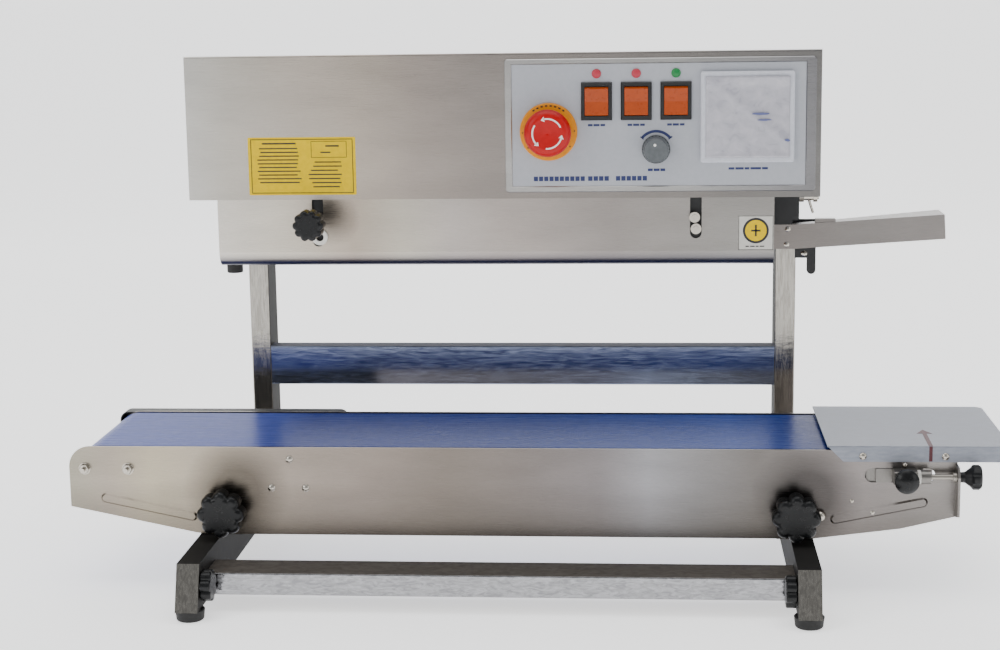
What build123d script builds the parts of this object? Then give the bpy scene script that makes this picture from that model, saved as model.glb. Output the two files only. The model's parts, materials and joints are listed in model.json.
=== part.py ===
"""Continuous band sealer: a stand, a sealing head and a belt conveyor, each made of separate pieces.

Frame: X runs along the conveyor (bags travel towards -X), Y runs from the front of the machine to its
back, Z is up. The origin is on the floor, in the middle of the machine's footprint. Millimetres.
"""
from math import asin, atan2, cos, degrees, pi, radians, sin, sqrt
import os

from build123d import *

# ---------------------------------------------------------------- driving dimensions
overall_length = 841.0  # conveyor's left end to the infeed plate's right end
overall_depth = 394.0  # foot bars, front to back
head_top = 481.0

sheet = 1.2  # head and guard sheet
plate = 2.0  # conveyor side plates
tube_wall = 1.5
running = 0.05  # radial clearance of a shaft in its bush
gap = 0.3  # air between pieces that move past each other

# stand
tube_width = 20.0
tube_depth = 40.0
stand_left = -302.0  # outer faces of the two side frames
stand_right = 250.5
stand_front = -overall_depth / 2
stand_rear = overall_depth / 2
foot_height = 10.0
foot_radius = 13.0
foot_inset = 15.0
bar_front_slope = 14.0  # how far the bar's top front edge lies behind its bottom one
post_front = 153.0
bar_top = foot_height + tube_depth
left_bar_x = stand_left + tube_width / 2
right_bar_x = stand_right - tube_width / 2
bar_inner_left = stand_left + tube_width
bar_inner_right = stand_right - tube_width
front_bar_y = (-162.0, -122.0)
front_bar_z = (15.5, 35.5)
rear_bar_z = (137.5, 177.5)

# head
machine_front = -95.0  # front faces of the head and of the conveyor
head_left = -298.5
head_right = 252.0
head_rear = post_front + tube_depth
head_bottom = 355.5
head_top_drop = 13.0  # the top falls this much towards the back
base_plate_thickness = 4.0
base_plate_top = head_bottom + base_plate_thickness

# sealing line
seal_y = -22.0  # plane in which the bag's mouth travels
wheel_radius = 27.7
band_radius = wheel_radius + gap
band_thickness = 0.3
band_width = 15.0
band_length = 970.0
band_bottom = 301.5
wheel_z = (band_bottom - 0.5, band_bottom + band_width + 0.5)
band_gap = 0.4  # between the two bands, where the bag's mouth is held
loop_offset = band_radius + band_thickness + band_gap / 2
front_loop_y = seal_y - loop_offset
rear_loop_y = seal_y + loop_offset
drive_wheel_x = -220.0
idler_wheel_x = drive_wheel_x + (band_length - 2 * pi * (band_radius + band_thickness / 2)) / 2
spindle_radius = 5.0
spindle_bottom = wheel_z[0] - 2.0
bearing_radius = 12.0
bearing_bottom = 338.0
bearing_flange_top = base_plate_top + 4.0

# timing gears above the base plate
gear_module = 1.5
gear_teeth = 38
pinion_teeth = 20
gear_z = (366.0, 376.0)
pinion_y = rear_loop_y + gear_module * (gear_teeth + pinion_teeth) / 2
gearbox_bottom = 384.0
gearbox_side = 60.0
gearbox_height = 30.0
motor_radius = 26.0
motor_height = 41.0
pinion_shaft_radius = 4.0

# control panel
frame_x = (-18.5, 247.5)
frame_z = (361.0, 475.5)
frame_proud = 2.0
panel_x = (-12.5, 239.0)
panel_z = (366.0, 471.0)
panel_front = machine_front - sheet
estop_x, estop_z = 19.2, 413.3
estop_collar_radius = 24.8
estop_radius = 20.0
estop_travel = 4.0
switch_x = (60.6, 94.6, 128.5)
switch_z = 439.0
bezel_width, bezel_height = 26.5, 32.5
rocker_width = 20.0
rocker_radius = 12.4
rocker_tilt = 7.0  # degrees either side of level
lamp_z = 462.5
knob_x, knob_z = 111.5, 397.6
controller_x = (149.5, 229.0)
controller_z = (386.0, 463.5)

# belt guard under the head
guard_x = (-275.5, 213.5)
guard_y = -87.0
guard_z = (295.0, 355.0)
guard_bend = 13.0
guard_lip = 10.0
guard_slot_width = 10.0
left_slot_x, left_slot_bottom = -186.0, 313.0
right_slot_x, right_slot_bottom = 146.0, 319.0
guard_knob_x, guard_knob_z = -186.0, 337.5
guard_stud_radius = 3.0

# conveyor
conveyor_left = -overall_length / 2
conveyor_right = 374.5
plate_top = 132.0
plate_bottom = 51.0
belt_front = machine_front + 6.0
belt_back = machine_front + 140.0
rear_plate_y = machine_front + 144.0
roller_z = 111.5
roller_radius = 18.2
belt_inner = roller_radius + gap
belt_thickness = 1.5
drive_roller_x = -393.0
driven_roller_x = 310.5
clamp_x = (-277.5, 234.0)
clamp_z = 75.0
clamp_rod_radius = 4.0
height_travel = 40.0
conveyor_motor_x = -219.0
motor_screws = ((-217.5, 121.0), (-234.5, 94.4), (-203.5, 94.4))
bearing_bolt_x = (-406.0, -366.0)
rear_plate_left = -411.5
tension_slot_x = (294.5, 355.5)
tension_slot_z = (103.0, 116.0)
tension_screw_y = machine_front - 11.0
tension_screw_z = 111.0
tension_screw_radius = 2.5
lock_knob_x, lock_knob_z = 328.0, 110.0
infeed_x = (261.5, overall_length / 2)
infeed_back = 63.0
infeed_top = 136.0
infeed_flange_bottom = 122.0
infeed_screw_x = (292.3, 363.8)
infeed_screw_z = 127.0
pulley_y = (rear_plate_y + 6.0, rear_plate_y + 14.0)
pulley_radius = 15.0

# bag guide at the head's right end
guide_left = 217.0
guide_bend_x = 234.0
guide_length = 134.0
guide_bottom = 301.0
guide_height = 22.0
guide_slope = 3.6  # degrees
guide_half_slot = 4.0
guide_flare = 28.0


# ---------------------------------------------------------------- helpers
def block(x, y, z, mode=Mode.ADD):
    """A box between two X, two Y and two Z values, added to the open part."""
    with Locations(((x[0] + x[1]) / 2, (y[0] + y[1]) / 2, (z[0] + z[1]) / 2)):
        Box(x[1] - x[0], y[1] - y[0], z[1] - z[0], mode=mode)


def rod_x(radius, x, y, z, mode=Mode.ADD):
    """A round bar along X."""
    with Locations(Location(((x[0] + x[1]) / 2, y, z), (0, 90, 0))):
        Cylinder(radius, x[1] - x[0], mode=mode)


def rod_y(radius, x, y, z, mode=Mode.ADD):
    """A round bar along Y."""
    with Locations(Location((x, (y[0] + y[1]) / 2, z), (90, 0, 0))):
        Cylinder(radius, y[1] - y[0], mode=mode)


def rod_z(radius, x, y, z, mode=Mode.ADD):
    """A round bar along Z."""
    with Locations((x, y, (z[0] + z[1]) / 2)):
        Cylinder(radius, z[1] - z[0], mode=mode)


def facing(y):
    """A sketch plane at depth y that faces the front: what is extruded from it comes forward."""
    return Plane.XZ.offset(-y)


def save(part, name):
    part.label = name
    export_step(part, f"parts/{name}.step")


def hex_nut(x, y, z, across, thickness, hole, washer_radius=0.0, washer=0.0):
    """A hexagon nut whose face towards the sheet is at y, standing forward, with a washer under it."""
    with BuildPart() as nut:
        with BuildSketch(facing(y - washer)):
            with Locations((x, z)):
                RegularPolygon(across / sqrt(3), 6)
                Circle(hole, mode=Mode.SUBTRACT)
        extrude(amount=thickness)
        chamfer(nut.edges().filter_by(Plane.XZ).group_by(Axis.Y)[0].filter_by(GeomType.LINE), 0.4)
        if washer:
            with BuildSketch(facing(y)):
                with Locations((x, z)):
                    Circle(washer_radius)
                    Circle(hole, mode=Mode.SUBTRACT)
            extrude(amount=washer)
    return nut.part


def dome(radius, low, high):
    """The arc from a rim at height low to the top of a spherical dome on the Z axis."""
    rise = high - low
    sphere = (radius**2 + rise**2) / (2 * rise)
    half_angle = asin(radius / sphere) / 2
    middle = (sphere * sin(half_angle), high - sphere * (1 - cos(half_angle)))
    ThreePointArc((radius, low), middle, (0, high))


def screw(x, y, z, head_radius, head, shank_radius=0.0, length=0.0, forward=1):
    """A domed head on the sheet face at y, with a shank into the sheet where one is given."""
    with BuildPart() as made:
        with BuildSketch(Plane.XZ):
            with BuildLine():
                Line((0, 0), (head_radius, 0))
                Line((head_radius, 0), (head_radius, head * 0.3))
                dome(head_radius, head * 0.3, head)
                Line((0, head), (0, 0))
            make_face()
        revolve(axis=Axis.Z)
        if length:
            rod_z(shank_radius, 0, 0, (-length, 0))
    return made.part.moved(Location((x, y, z), (90 if forward > 0 else -90, 0, 0)))


def star_head(radius, lobes, height, rounding):
    """A lobed knob head standing on the XY plane."""
    lobe = radius * sin(pi / lobes) * 0.86
    with BuildPart() as head:
        with BuildSketch():
            Circle(radius - lobe * 0.5)
            with PolarLocations(radius - lobe, lobes):
                Circle(lobe)
        extrude(amount=height)
        fillet(head.faces().sort_by(Axis.Z)[-1].edges(), rounding)
        fillet(head.faces().sort_by(Axis.Z)[0].edges(), rounding * 0.4)
    return head.part


def spur_gear(teeth, x, y, z, bore, first_tooth):
    """A spur gear with straight-flanked teeth; first_tooth is the angle of one tooth, in degrees."""
    pitch = gear_module * teeth / 2
    tip = pitch + 0.8 * gear_module
    root = pitch - 1.2 * gear_module
    half_pitch_tooth = 0.38 * pi * gear_module / 2
    flank = 0.3 * gear_module
    with BuildSketch() as tooth:
        with BuildLine():
            Polyline(
                (root - 0.4, -half_pitch_tooth - flank), (tip, -half_pitch_tooth + flank),
                (tip, half_pitch_tooth - flank), (root - 0.4, half_pitch_tooth + flank), close=True,
            )
        make_face()
    with BuildPart() as gear:
        with BuildSketch(Plane.XY.offset(z[0])):
            Circle(root)
            with PolarLocations(0, teeth, start_angle=first_tooth):
                add(tooth.sketch)
            Circle(bore, mode=Mode.SUBTRACT)
        extrude(amount=z[1] - z[0])
    return gear.part.moved(Location((x, y, 0)))


def loop_belt(x_low, x_high, centre, inner, thickness, across, plane):
    """A closed belt round two equal wheels: x_low and x_high are the wheel centres."""
    with BuildPart() as belt:
        with BuildSketch(plane):
            with Locations(((x_low + x_high) / 2, centre)):
                SlotCenterToCenter(x_high - x_low, 2 * (inner + thickness))
                SlotCenterToCenter(x_high - x_low, 2 * inner, mode=Mode.SUBTRACT)
        extrude(amount=across)
    return belt.part


os.makedirs("parts", exist_ok=True)

# ================================================================ stand
# Each side frame is one welded tube: a foot bar along Y and a post that rises from its back end.
for name, outer, inner_side in (("left", stand_left, 1), ("right", stand_right - tube_width, -1)):
    with BuildPart() as side_frame:
        with BuildSketch(Plane.YZ.offset(outer)):
            with BuildLine():
                Polyline(
                    (stand_front, foot_height),
                    (stand_rear, foot_height),
                    (stand_rear, bar_top),
                    (head_rear, bar_top),
                    (head_rear, head_bottom),
                    (post_front, head_bottom),
                    (post_front, bar_top),
                    (stand_front + bar_front_slope, bar_top),
                    close=True,
                )
            make_face()
        extrude(amount=tube_width)
        fillet(side_frame.edges().filter_by(Axis.Z), 1.5)
        # the bore runs through bar and post and opens at the post's top
        with BuildSketch(Plane.YZ.offset(outer + tube_wall)):
            with BuildLine():
                Polyline(
                    (stand_front + 2 * tube_wall, foot_height + tube_wall),
                    (stand_rear - tube_wall, foot_height + tube_wall),
                    (stand_rear - tube_wall, bar_top - tube_wall),
                    (head_rear - tube_wall, bar_top - tube_wall),
                    (head_rear - tube_wall, head_bottom),
                    (post_front + tube_wall, head_bottom),
                    (post_front + tube_wall, bar_top - tube_wall),
                    (stand_front + bar_front_slope + tube_wall, bar_top - tube_wall),
                    close=True,
                )
            make_face()
        extrude(amount=tube_width - 2 * tube_wall, mode=Mode.SUBTRACT)
        centre = outer + tube_width / 2
        for foot_y in (stand_front + foot_inset, stand_rear - foot_inset):
            rod_z(3 + running, centre, foot_y, (foot_height - 1, foot_height + 3), Mode.SUBTRACT)
        # hole for the small clamp knob, in the wall that faces the other frame
        wall = outer + tube_width if inner_side > 0 else outer
        rod_x(3 + running, (wall - 3, wall + 3), stand_front + 20, 29, Mode.SUBTRACT)
    save(side_frame.part, f"{name}_side_frame")

with BuildPart() as front_cross_bar:
    block((bar_inner_left, bar_inner_right), front_bar_y, front_bar_z)
    fillet(front_cross_bar.edges().filter_by(Axis.X), 1.5)
    block(
        (bar_inner_left, bar_inner_right),
        (front_bar_y[0] + tube_wall, front_bar_y[1] - tube_wall),
        (front_bar_z[0] + tube_wall, front_bar_z[1] - tube_wall),
        Mode.SUBTRACT,
    )
save(front_cross_bar.part, "front_cross_bar")

with BuildPart() as rear_cross_bar:
    block((bar_inner_left, bar_inner_right), (post_front, post_front + tube_width), rear_bar_z)
    fillet(rear_cross_bar.edges().filter_by(Axis.X), 1.5)
    block(
        (bar_inner_left, bar_inner_right),
        (post_front + tube_wall, post_front + tube_width - tube_wall),
        (rear_bar_z[0] + tube_wall, rear_bar_z[1] - tube_wall),
        Mode.SUBTRACT,
    )
save(rear_cross_bar.part, "rear_cross_bar")

with BuildPart() as rubber_feet:
    with BuildSketch(Plane.XZ):
        with BuildLine():
            Polyline(
                (0, 0), (foot_radius - 2, 0), (foot_radius - 1, 1), (foot_radius, foot_height - 1),
                (foot_radius - 1, foot_height), (3, foot_height), (3, foot_height + 6),
                (0, foot_height + 6), close=True,
            )
        make_face()
    revolve(axis=Axis.Z)
one_foot = rubber_feet.part
with BuildPart() as rubber_feet:
    for foot_x in (left_bar_x, right_bar_x):
        for foot_y in (stand_front + foot_inset, stand_rear - foot_inset):
            add(one_foot.moved(Location((foot_x, foot_y, 0))))
save(rubber_feet.part, "rubber_feet")

small_star = star_head(14.0, 7, 9.0, 1.5)
for name, wall, turn in (("left", bar_inner_left, 90), ("right", bar_inner_right, -90)):
    away = 1 if turn > 0 else -1
    with BuildPart() as leg_knob:
        add(small_star.moved(Location((wall + away, stand_front + 20, 29), (0, turn, 0))))
        ends = sorted((wall - 8 * away, wall + 2 * away))
        rod_x(3, ends, stand_front + 20, 29)
    save(leg_knob.part, f"{name}_leg_knob")

# Two U-shaped saddles stand on the foot bars, inside the conveyor, with a slot in each upright.
saddle_front = machine_front + plate + gap
saddle_back = rear_plate_y - gap
with BuildPart() as conveyor_saddles:
    for slot_x, saddle_x in (
        (clamp_x[0], (stand_left, clamp_x[0] + 14)),
        (clamp_x[1], (clamp_x[1] - 16, stand_right)),
    ):
        block(saddle_x, (saddle_front, saddle_back), (bar_top, bar_top + 3))
        for upright in ((saddle_front, saddle_front + 2), (saddle_back - 2, saddle_back)):
            block(saddle_x, upright, (bar_top + 3, plate_top - 5))
        slot_low = clamp_z - clamp_rod_radius - gap
        slot_high = clamp_z + height_travel + clamp_rod_radius + gap
        with BuildSketch(facing(saddle_back)):
            with Locations((slot_x, (slot_low + slot_high) / 2)):
                SlotOverall(slot_high - slot_low, 2 * (clamp_rod_radius + gap), rotation=90)
        extrude(amount=saddle_back - saddle_front, mode=Mode.SUBTRACT)
save(conveyor_saddles.part, "conveyor_saddles")

# ================================================================ head
cover_inner = (head_left + sheet, head_right - sheet)
with BuildPart() as head_cover:
    with BuildSketch(Plane.YZ.offset(head_left)):
        with BuildLine():
            Polyline(
                (machine_front, head_bottom), (head_rear, head_bottom),
                (head_rear, head_top - head_top_drop), (machine_front, head_top), close=True,
            )
        make_face()
    extrude(amount=head_right - head_left)
    fillet(head_cover.edges().filter_by(Axis.X).sort_by(Axis.Z)[-1:], 1.5)
    with BuildSketch(Plane.YZ.offset(cover_inner[0])):
        with BuildLine():
            Polyline(
                (machine_front + sheet, head_bottom), (head_rear, head_bottom),
                (head_rear, head_top - head_top_drop - sheet), (machine_front + sheet, head_top - sheet),
                close=True,
            )
        make_face()
    extrude(amount=cover_inner[1] - cover_inner[0], mode=Mode.SUBTRACT)
    through = (machine_front - 1, machine_front + sheet + 1)
    rod_y(11.1, estop_x, through, estop_z, Mode.SUBTRACT)
    rod_y(3.6, knob_x, through, knob_z, Mode.SUBTRACT)
    for x in switch_x:
        block((x - 12, x + 12), through, (switch_z - 14.5, switch_z + 14.5), Mode.SUBTRACT)
        rod_y(3.1, x, through, lamp_z, Mode.SUBTRACT)
    block(
        (controller_x[0] + 6, controller_x[1] - 6), through,
        (controller_z[0] + 6, controller_z[1] - 6), Mode.SUBTRACT,
    )
save(head_cover.part, "head_cover")

with BuildPart() as head_base_plate:
    block(
        (cover_inner[0] + 0.1, cover_inner[1] - 0.1),
        (machine_front + sheet + 0.1, head_rear - sheet - 0.1),
        (head_bottom, base_plate_top),
    )
    for x in (drive_wheel_x, idler_wheel_x):
        for y in (front_loop_y, rear_loop_y):
            rod_z(bearing_radius, x, y, (head_bottom - 1, base_plate_top + 1), Mode.SUBTRACT)
save(head_base_plate.part, "head_base_plate")

inlet_x, inlet_z = 180.0, 388.0
with BuildPart() as rear_cover:
    rear_top = head_top - head_top_drop - sheet - 0.2
    rear_y = (head_rear - sheet, head_rear)
    block((cover_inner[0] + 0.1, cover_inner[1] - 0.1), rear_y, (base_plate_top, rear_top))
    cut = (rear_y[0] - 1, rear_y[1] + 1)
    with BuildSketch(facing(cut[1])):
        for group_x in (-200, 60):
            with Locations((group_x, 425)):
                with GridLocations(0, 8, 1, 7):
                    SlotOverall(70, 3)
    extrude(amount=cut[1] - cut[0], mode=Mode.SUBTRACT)
    block((inlet_x - 14, inlet_x + 14), cut, (inlet_z - 10.5, inlet_z + 10.5), Mode.SUBTRACT)
save(rear_cover.part, "rear_cover")

with BuildPart() as power_inlet:
    block((inlet_x - 25, inlet_x + 25), (head_rear, head_rear + 2.5), (inlet_z - 12, inlet_z + 12))
    fillet(power_inlet.edges().filter_by(Axis.Y), 4)
    block((inlet_x - 13.8, inlet_x + 13.8), (head_rear - 24, head_rear), (inlet_z - 10.3, inlet_z + 10.3))
    socket_y = (head_rear - 16, head_rear + 3)
    block((inlet_x - 12, inlet_x + 12), socket_y, (inlet_z - 8, inlet_z + 8), Mode.SUBTRACT)
    for pin_x, pin_z in ((-7, 2), (0, -3), (7, 2)):
        block(
            (inlet_x + pin_x - 1, inlet_x + pin_x + 1), (head_rear - 17, head_rear - 7),
            (inlet_z + pin_z - 2, inlet_z + pin_z + 2),
        )
save(power_inlet.part, "power_inlet")

# ---------------------------------------------------------------- control panel
with BuildPart() as panel_frame:
    block(frame_x, (machine_front - frame_proud, machine_front), frame_z)
    fillet(panel_frame.edges().filter_by(Axis.Y), 3)
    block(panel_x, (machine_front - frame_proud - 1, machine_front + 1), panel_z, Mode.SUBTRACT)
    chamfer(panel_frame.faces().sort_by(Axis.Y)[0].edges(), 0.6)
save(panel_frame.part, "panel_frame")

with BuildPart() as control_panel:
    block(
        (panel_x[0] + 0.2, panel_x[1] - 0.2), (panel_front, machine_front),
        (panel_z[0] + 0.2, panel_z[1] - 0.2),
    )
    through = (panel_front - 1, machine_front + 1)
    rod_y(11.1, estop_x, through, estop_z, Mode.SUBTRACT)
    rod_y(3.6, knob_x, through, knob_z, Mode.SUBTRACT)
    for x in switch_x:
        block((x - 12, x + 12), through, (switch_z - 14.5, switch_z + 14.5), Mode.SUBTRACT)
        rod_y(3.1, x, through, lamp_z, Mode.SUBTRACT)
    block(
        (controller_x[0] + 6, controller_x[1] - 6), through,
        (controller_z[0] + 6, controller_z[1] - 6), Mode.SUBTRACT,
    )
save(control_panel.part, "control_panel")

collar_front = panel_front - 3.0
with BuildPart() as estop_collar:
    rod_y(estop_collar_radius, estop_x, (collar_front, panel_front), estop_z)
    chamfer(estop_collar.faces().sort_by(Axis.Y)[0].edges(), 1)
    rod_y(11, estop_x, (panel_front, machine_front + 22), estop_z)
    rod_y(14, estop_x, (machine_front + sheet, machine_front + 6), estop_z)
    block(
        (estop_x - 15, estop_x + 15), (machine_front + 22, machine_front + 45), (estop_z - 20, estop_z + 20)
    )
    rod_y(5 + running, estop_x, (collar_front - 1, machine_front + 30), estop_z, Mode.SUBTRACT)
save(estop_collar.part, "estop_collar")

cap_back = collar_front - estop_travel - 2.0
with BuildPart() as estop_button:
    with BuildSketch(Plane.XZ):
        with BuildLine():
            Line((0, 0), (14, 0))
            Line((14, 0), (14, 5))
            Line((14, 5), (estop_radius - 1.5, 7))
            ThreePointArc((estop_radius - 1.5, 7), (estop_radius, 8.4), (estop_radius - 0.4, 11))
            ThreePointArc((estop_radius - 0.4, 11), (estop_radius - 3, 14.6), (estop_radius - 8, 15.6))
            Line((estop_radius - 8, 15.6), (0, 14.8))
            Line((0, 14.8), (0, 0))
        make_face()
    revolve(axis=Axis.Z)
    rod_z(5, 0, 0, (-30, 0))
save(estop_button.part.moved(Location((estop_x, cap_back, estop_z), (90, 0, 0))), "estop_button")

bezel_front = panel_front - 2.5
pivot_y = panel_front + 0.5
with BuildPart() as switch_housings:
    for x in switch_x:
        block(
            (x - bezel_width / 2, x + bezel_width / 2), (bezel_front, panel_front),
            (switch_z - bezel_height / 2, switch_z + bezel_height / 2),
        )
        block((x - 11.9, x + 11.9), (panel_front, machine_front + 20), (switch_z - 14.4, switch_z + 14.4))
    chamfer(switch_housings.faces().sort_by(Axis.Y)[0:3].edges(), 0.8)
    for x in switch_x:
        half = rocker_width / 2 + gap
        rod_x(rocker_radius + gap, (x - half, x + half), pivot_y, switch_z, Mode.SUBTRACT)
        opening = rocker_radius + gap
        block(
            (x - half, x + half), (bezel_front - 1, pivot_y), (switch_z - opening, switch_z + opening),
            Mode.SUBTRACT,
        )
save(switch_housings.part, "switch_housings")

# Each rocker is a drum segment about its pivot, with two front faces that meet in a shallow V.
for name, x in zip(("power_rocker", "heater_rocker", "conveyor_rocker"), switch_x):
    with BuildPart() as rocker:
        rod_x(rocker_radius, (x - rocker_width / 2, x + rocker_width / 2), pivot_y, switch_z)
        front = bezel_front - 0.7 - pivot_y
        edge = front - rocker_radius * sin(radians(rocker_tilt))
        with BuildSketch(Plane.YZ.offset(x - rocker_width / 2)):
            with BuildLine():
                Polyline(
                    (pivot_y + front, switch_z), (pivot_y + edge, switch_z + rocker_radius + 1),
                    (pivot_y - 20, switch_z + rocker_radius + 1),
                    (pivot_y - 20, switch_z - rocker_radius - 1),
                    (pivot_y + edge, switch_z - rocker_radius - 1), close=True,
                )
            make_face()
        extrude(amount=rocker_width, mode=Mode.SUBTRACT)
        block((x - 11, x + 11), (pivot_y + 8, pivot_y + 20), (switch_z - 15, switch_z + 15), Mode.SUBTRACT)
    at_rest = rocker.part.rotate(Axis((x, pivot_y, switch_z), (1, 0, 0)), rocker_tilt)
    save(at_rest, name)

with BuildPart() as indicator_lamps:
    for x in switch_x:
        add(screw(x, panel_front, lamp_z, 4, 2.6, 3, 12))
save(indicator_lamps.part, "indicator_lamps")

with BuildPart() as temperature_controller:
    block(controller_x, (panel_front - 5, panel_front), controller_z)
    fillet(temperature_controller.edges().filter_by(Axis.Y), 2)
    chamfer(temperature_controller.faces().sort_by(Axis.Y)[0].edges(), 1.2)
    block(
        (controller_x[0] + 5.5, controller_x[1] - 5.5), (panel_front - 6, panel_front - 3.5),
        (controller_z[0] + 5.5, controller_z[1] - 5.5), Mode.SUBTRACT,
    )
    block(
        (controller_x[0] + 6.2, controller_x[1] - 6.2), (panel_front, machine_front + 60),
        (controller_z[0] + 6.2, controller_z[1] - 6.2),
    )
save(temperature_controller.part, "temperature_controller")

with BuildPart() as speed_knob:
    with BuildSketch(Plane.XZ):
        with BuildLine():
            Polyline(
                (0, -14), (3, -14), (3, 0), (12.2, 0), (12.2, 3), (11.4, 3.6), (10.3, 14), (9.5, 15),
                (0, 15), close=True,
            )
        make_face()
    revolve(axis=Axis.Z)
    with PolarLocations(11.4, 24):
        with Locations((0, 0, 9)):
            Cylinder(0.55, 14, mode=Mode.SUBTRACT)
save(speed_knob.part.moved(Location((knob_x, panel_front - gap, knob_z), (90, 0, 0))), "speed_knob")

# ---------------------------------------------------------------- sealing drive
with BuildPart() as shaft_bearings:
    for x in (drive_wheel_x, idler_wheel_x):
        for y in (front_loop_y, rear_loop_y):
            rod_z(bearing_radius - 0.02, x, y, (bearing_bottom, base_plate_top))
            rod_z(18, x, y, (base_plate_top, bearing_flange_top))
            rod_z(spindle_radius + running, x, y, (bearing_bottom - 1, bearing_flange_top + 1), Mode.SUBTRACT)
save(shaft_bearings.part, "shaft_bearings")

for name, y, first_tooth in (("front", front_loop_y, 90), ("rear", rear_loop_y, 90 + 180 / gear_teeth)):
    gear = spur_gear(gear_teeth, drive_wheel_x, y, gear_z, spindle_radius - 1, first_tooth)
    with BuildPart() as spindle:
        rod_z(spindle_radius, drive_wheel_x, y, (spindle_bottom, gear_z[1] + 3))
        rod_z(9, drive_wheel_x, y, (bearing_flange_top + 0.3, gear_z[0]))
        add(gear)
    save(spindle.part, f"{name}_gear_spindle")

    with BuildPart() as drive_wheel:
        rod_z(wheel_radius, drive_wheel_x, y, wheel_z)
        chamfer(drive_wheel.edges().filter_by(GeomType.CIRCLE), 0.5)
        with BuildSketch(Plane.XY.offset(wheel_z[0])):
            with Locations((drive_wheel_x, y)):
                Circle(wheel_radius - 5)
                Circle(10, mode=Mode.SUBTRACT)
        extrude(amount=5, mode=Mode.SUBTRACT)
        rod_z(spindle_radius, drive_wheel_x, y, (wheel_z[0] - 1, wheel_z[1] + 1), Mode.SUBTRACT)
    save(drive_wheel.part, f"{name}_drive_wheel")

    with BuildPart() as idler_wheel:
        rod_z(wheel_radius, idler_wheel_x, y, wheel_z)
        chamfer(idler_wheel.edges().filter_by(GeomType.CIRCLE), 0.5)
        with BuildSketch(Plane.XY.offset(wheel_z[0])):
            with Locations((idler_wheel_x, y)):
                Circle(wheel_radius - 5)
                Circle(10, mode=Mode.SUBTRACT)
        extrude(amount=5, mode=Mode.SUBTRACT)
        rod_z(spindle_radius, idler_wheel_x, y, (spindle_bottom, bearing_flange_top + 0.3))
        rod_z(7.5, idler_wheel_x, y, (bearing_flange_top + 0.3, bearing_flange_top + 4))
    save(idler_wheel.part, f"{name}_idler_wheel")

    band = loop_belt(
        drive_wheel_x, idler_wheel_x, y, band_radius, band_thickness, band_width, Plane.XY.offset(band_bottom)
    )
    save(band, f"{name}_band")

# the rear gear has a gap on the line towards the pinion, so the pinion has a tooth there
pinion_tooth = 270
with BuildPart() as motor_pinion:
    rod_z(pinion_shaft_radius, drive_wheel_x, pinion_y, (gear_z[0] - 2, gearbox_bottom + 8))
    add(spur_gear(pinion_teeth, drive_wheel_x, pinion_y, gear_z, pinion_shaft_radius - 1, pinion_tooth))
save(motor_pinion.part, "motor_pinion")

gearbox_top = gearbox_bottom + gearbox_height
with BuildPart() as drive_gearmotor:
    half = gearbox_side / 2
    box_x = (drive_wheel_x - half, drive_wheel_x + half)
    block(box_x, (pinion_y - half, pinion_y + half), (gearbox_bottom, gearbox_top))
    fillet(drive_gearmotor.edges().filter_by(Axis.Z), 4)
    rod_z(motor_radius, drive_wheel_x, pinion_y, (gearbox_top, gearbox_top + motor_height))
    fillet(drive_gearmotor.faces().sort_by(Axis.Z)[-1].edges(), 3)
    # four legs, the front pair set back clear of the rear gear
    with Locations((drive_wheel_x, pinion_y + 6.5, (base_plate_top + gearbox_bottom) / 2)):
        with GridLocations(gearbox_side - 8, 37, 2, 2):
            Cylinder(3.5, gearbox_bottom - base_plate_top)
    shaft_hole = pinion_shaft_radius + running
    rod_z(shaft_hole, drive_wheel_x, pinion_y, (gearbox_bottom - 1, gearbox_bottom + 9), Mode.SUBTRACT)
save(drive_gearmotor.part, "drive_gearmotor")


def band_blocks(x_low, x_high, fins):
    """A pair of blocks that press the two bands together, each hung from the base plate by two pins."""
    with BuildPart() as blocks:
        for side in (-1, 1):
            near = seal_y + side * (band_gap / 2 + band_thickness + gap)
            far = near + side * 16
            y = sorted((near, far))
            block((x_low, x_high), y, (band_bottom, band_bottom + 24))
            for fin in range(fins):
                fin_x = x_low + 8 + fin * (x_high - x_low - 16) / (fins - 1)
                cut_y = sorted((near + side * 6, far + side))
                block((fin_x - 1.5, fin_x + 1.5), cut_y, (band_bottom - 1, band_bottom + 18), Mode.SUBTRACT)
            for x in (x_low + 18, x_high - 18):
                rod_z(4, x, (near + far) / 2, (band_bottom + 24, head_bottom))
    return blocks.part


save(band_blocks(45.0, 135.0, 0), "heating_blocks")
save(band_blocks(-60.0, 30.0, 8), "cooling_blocks")

# ---------------------------------------------------------------- belt guard
def bend_at(y, z, radius, start, end):
    """A quarter bend about (y, z), bulging forwards and down."""
    middle = (y - radius * cos(radians(45)), z - radius * sin(radians(45)))
    ThreePointArc(start, middle, end)


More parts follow.
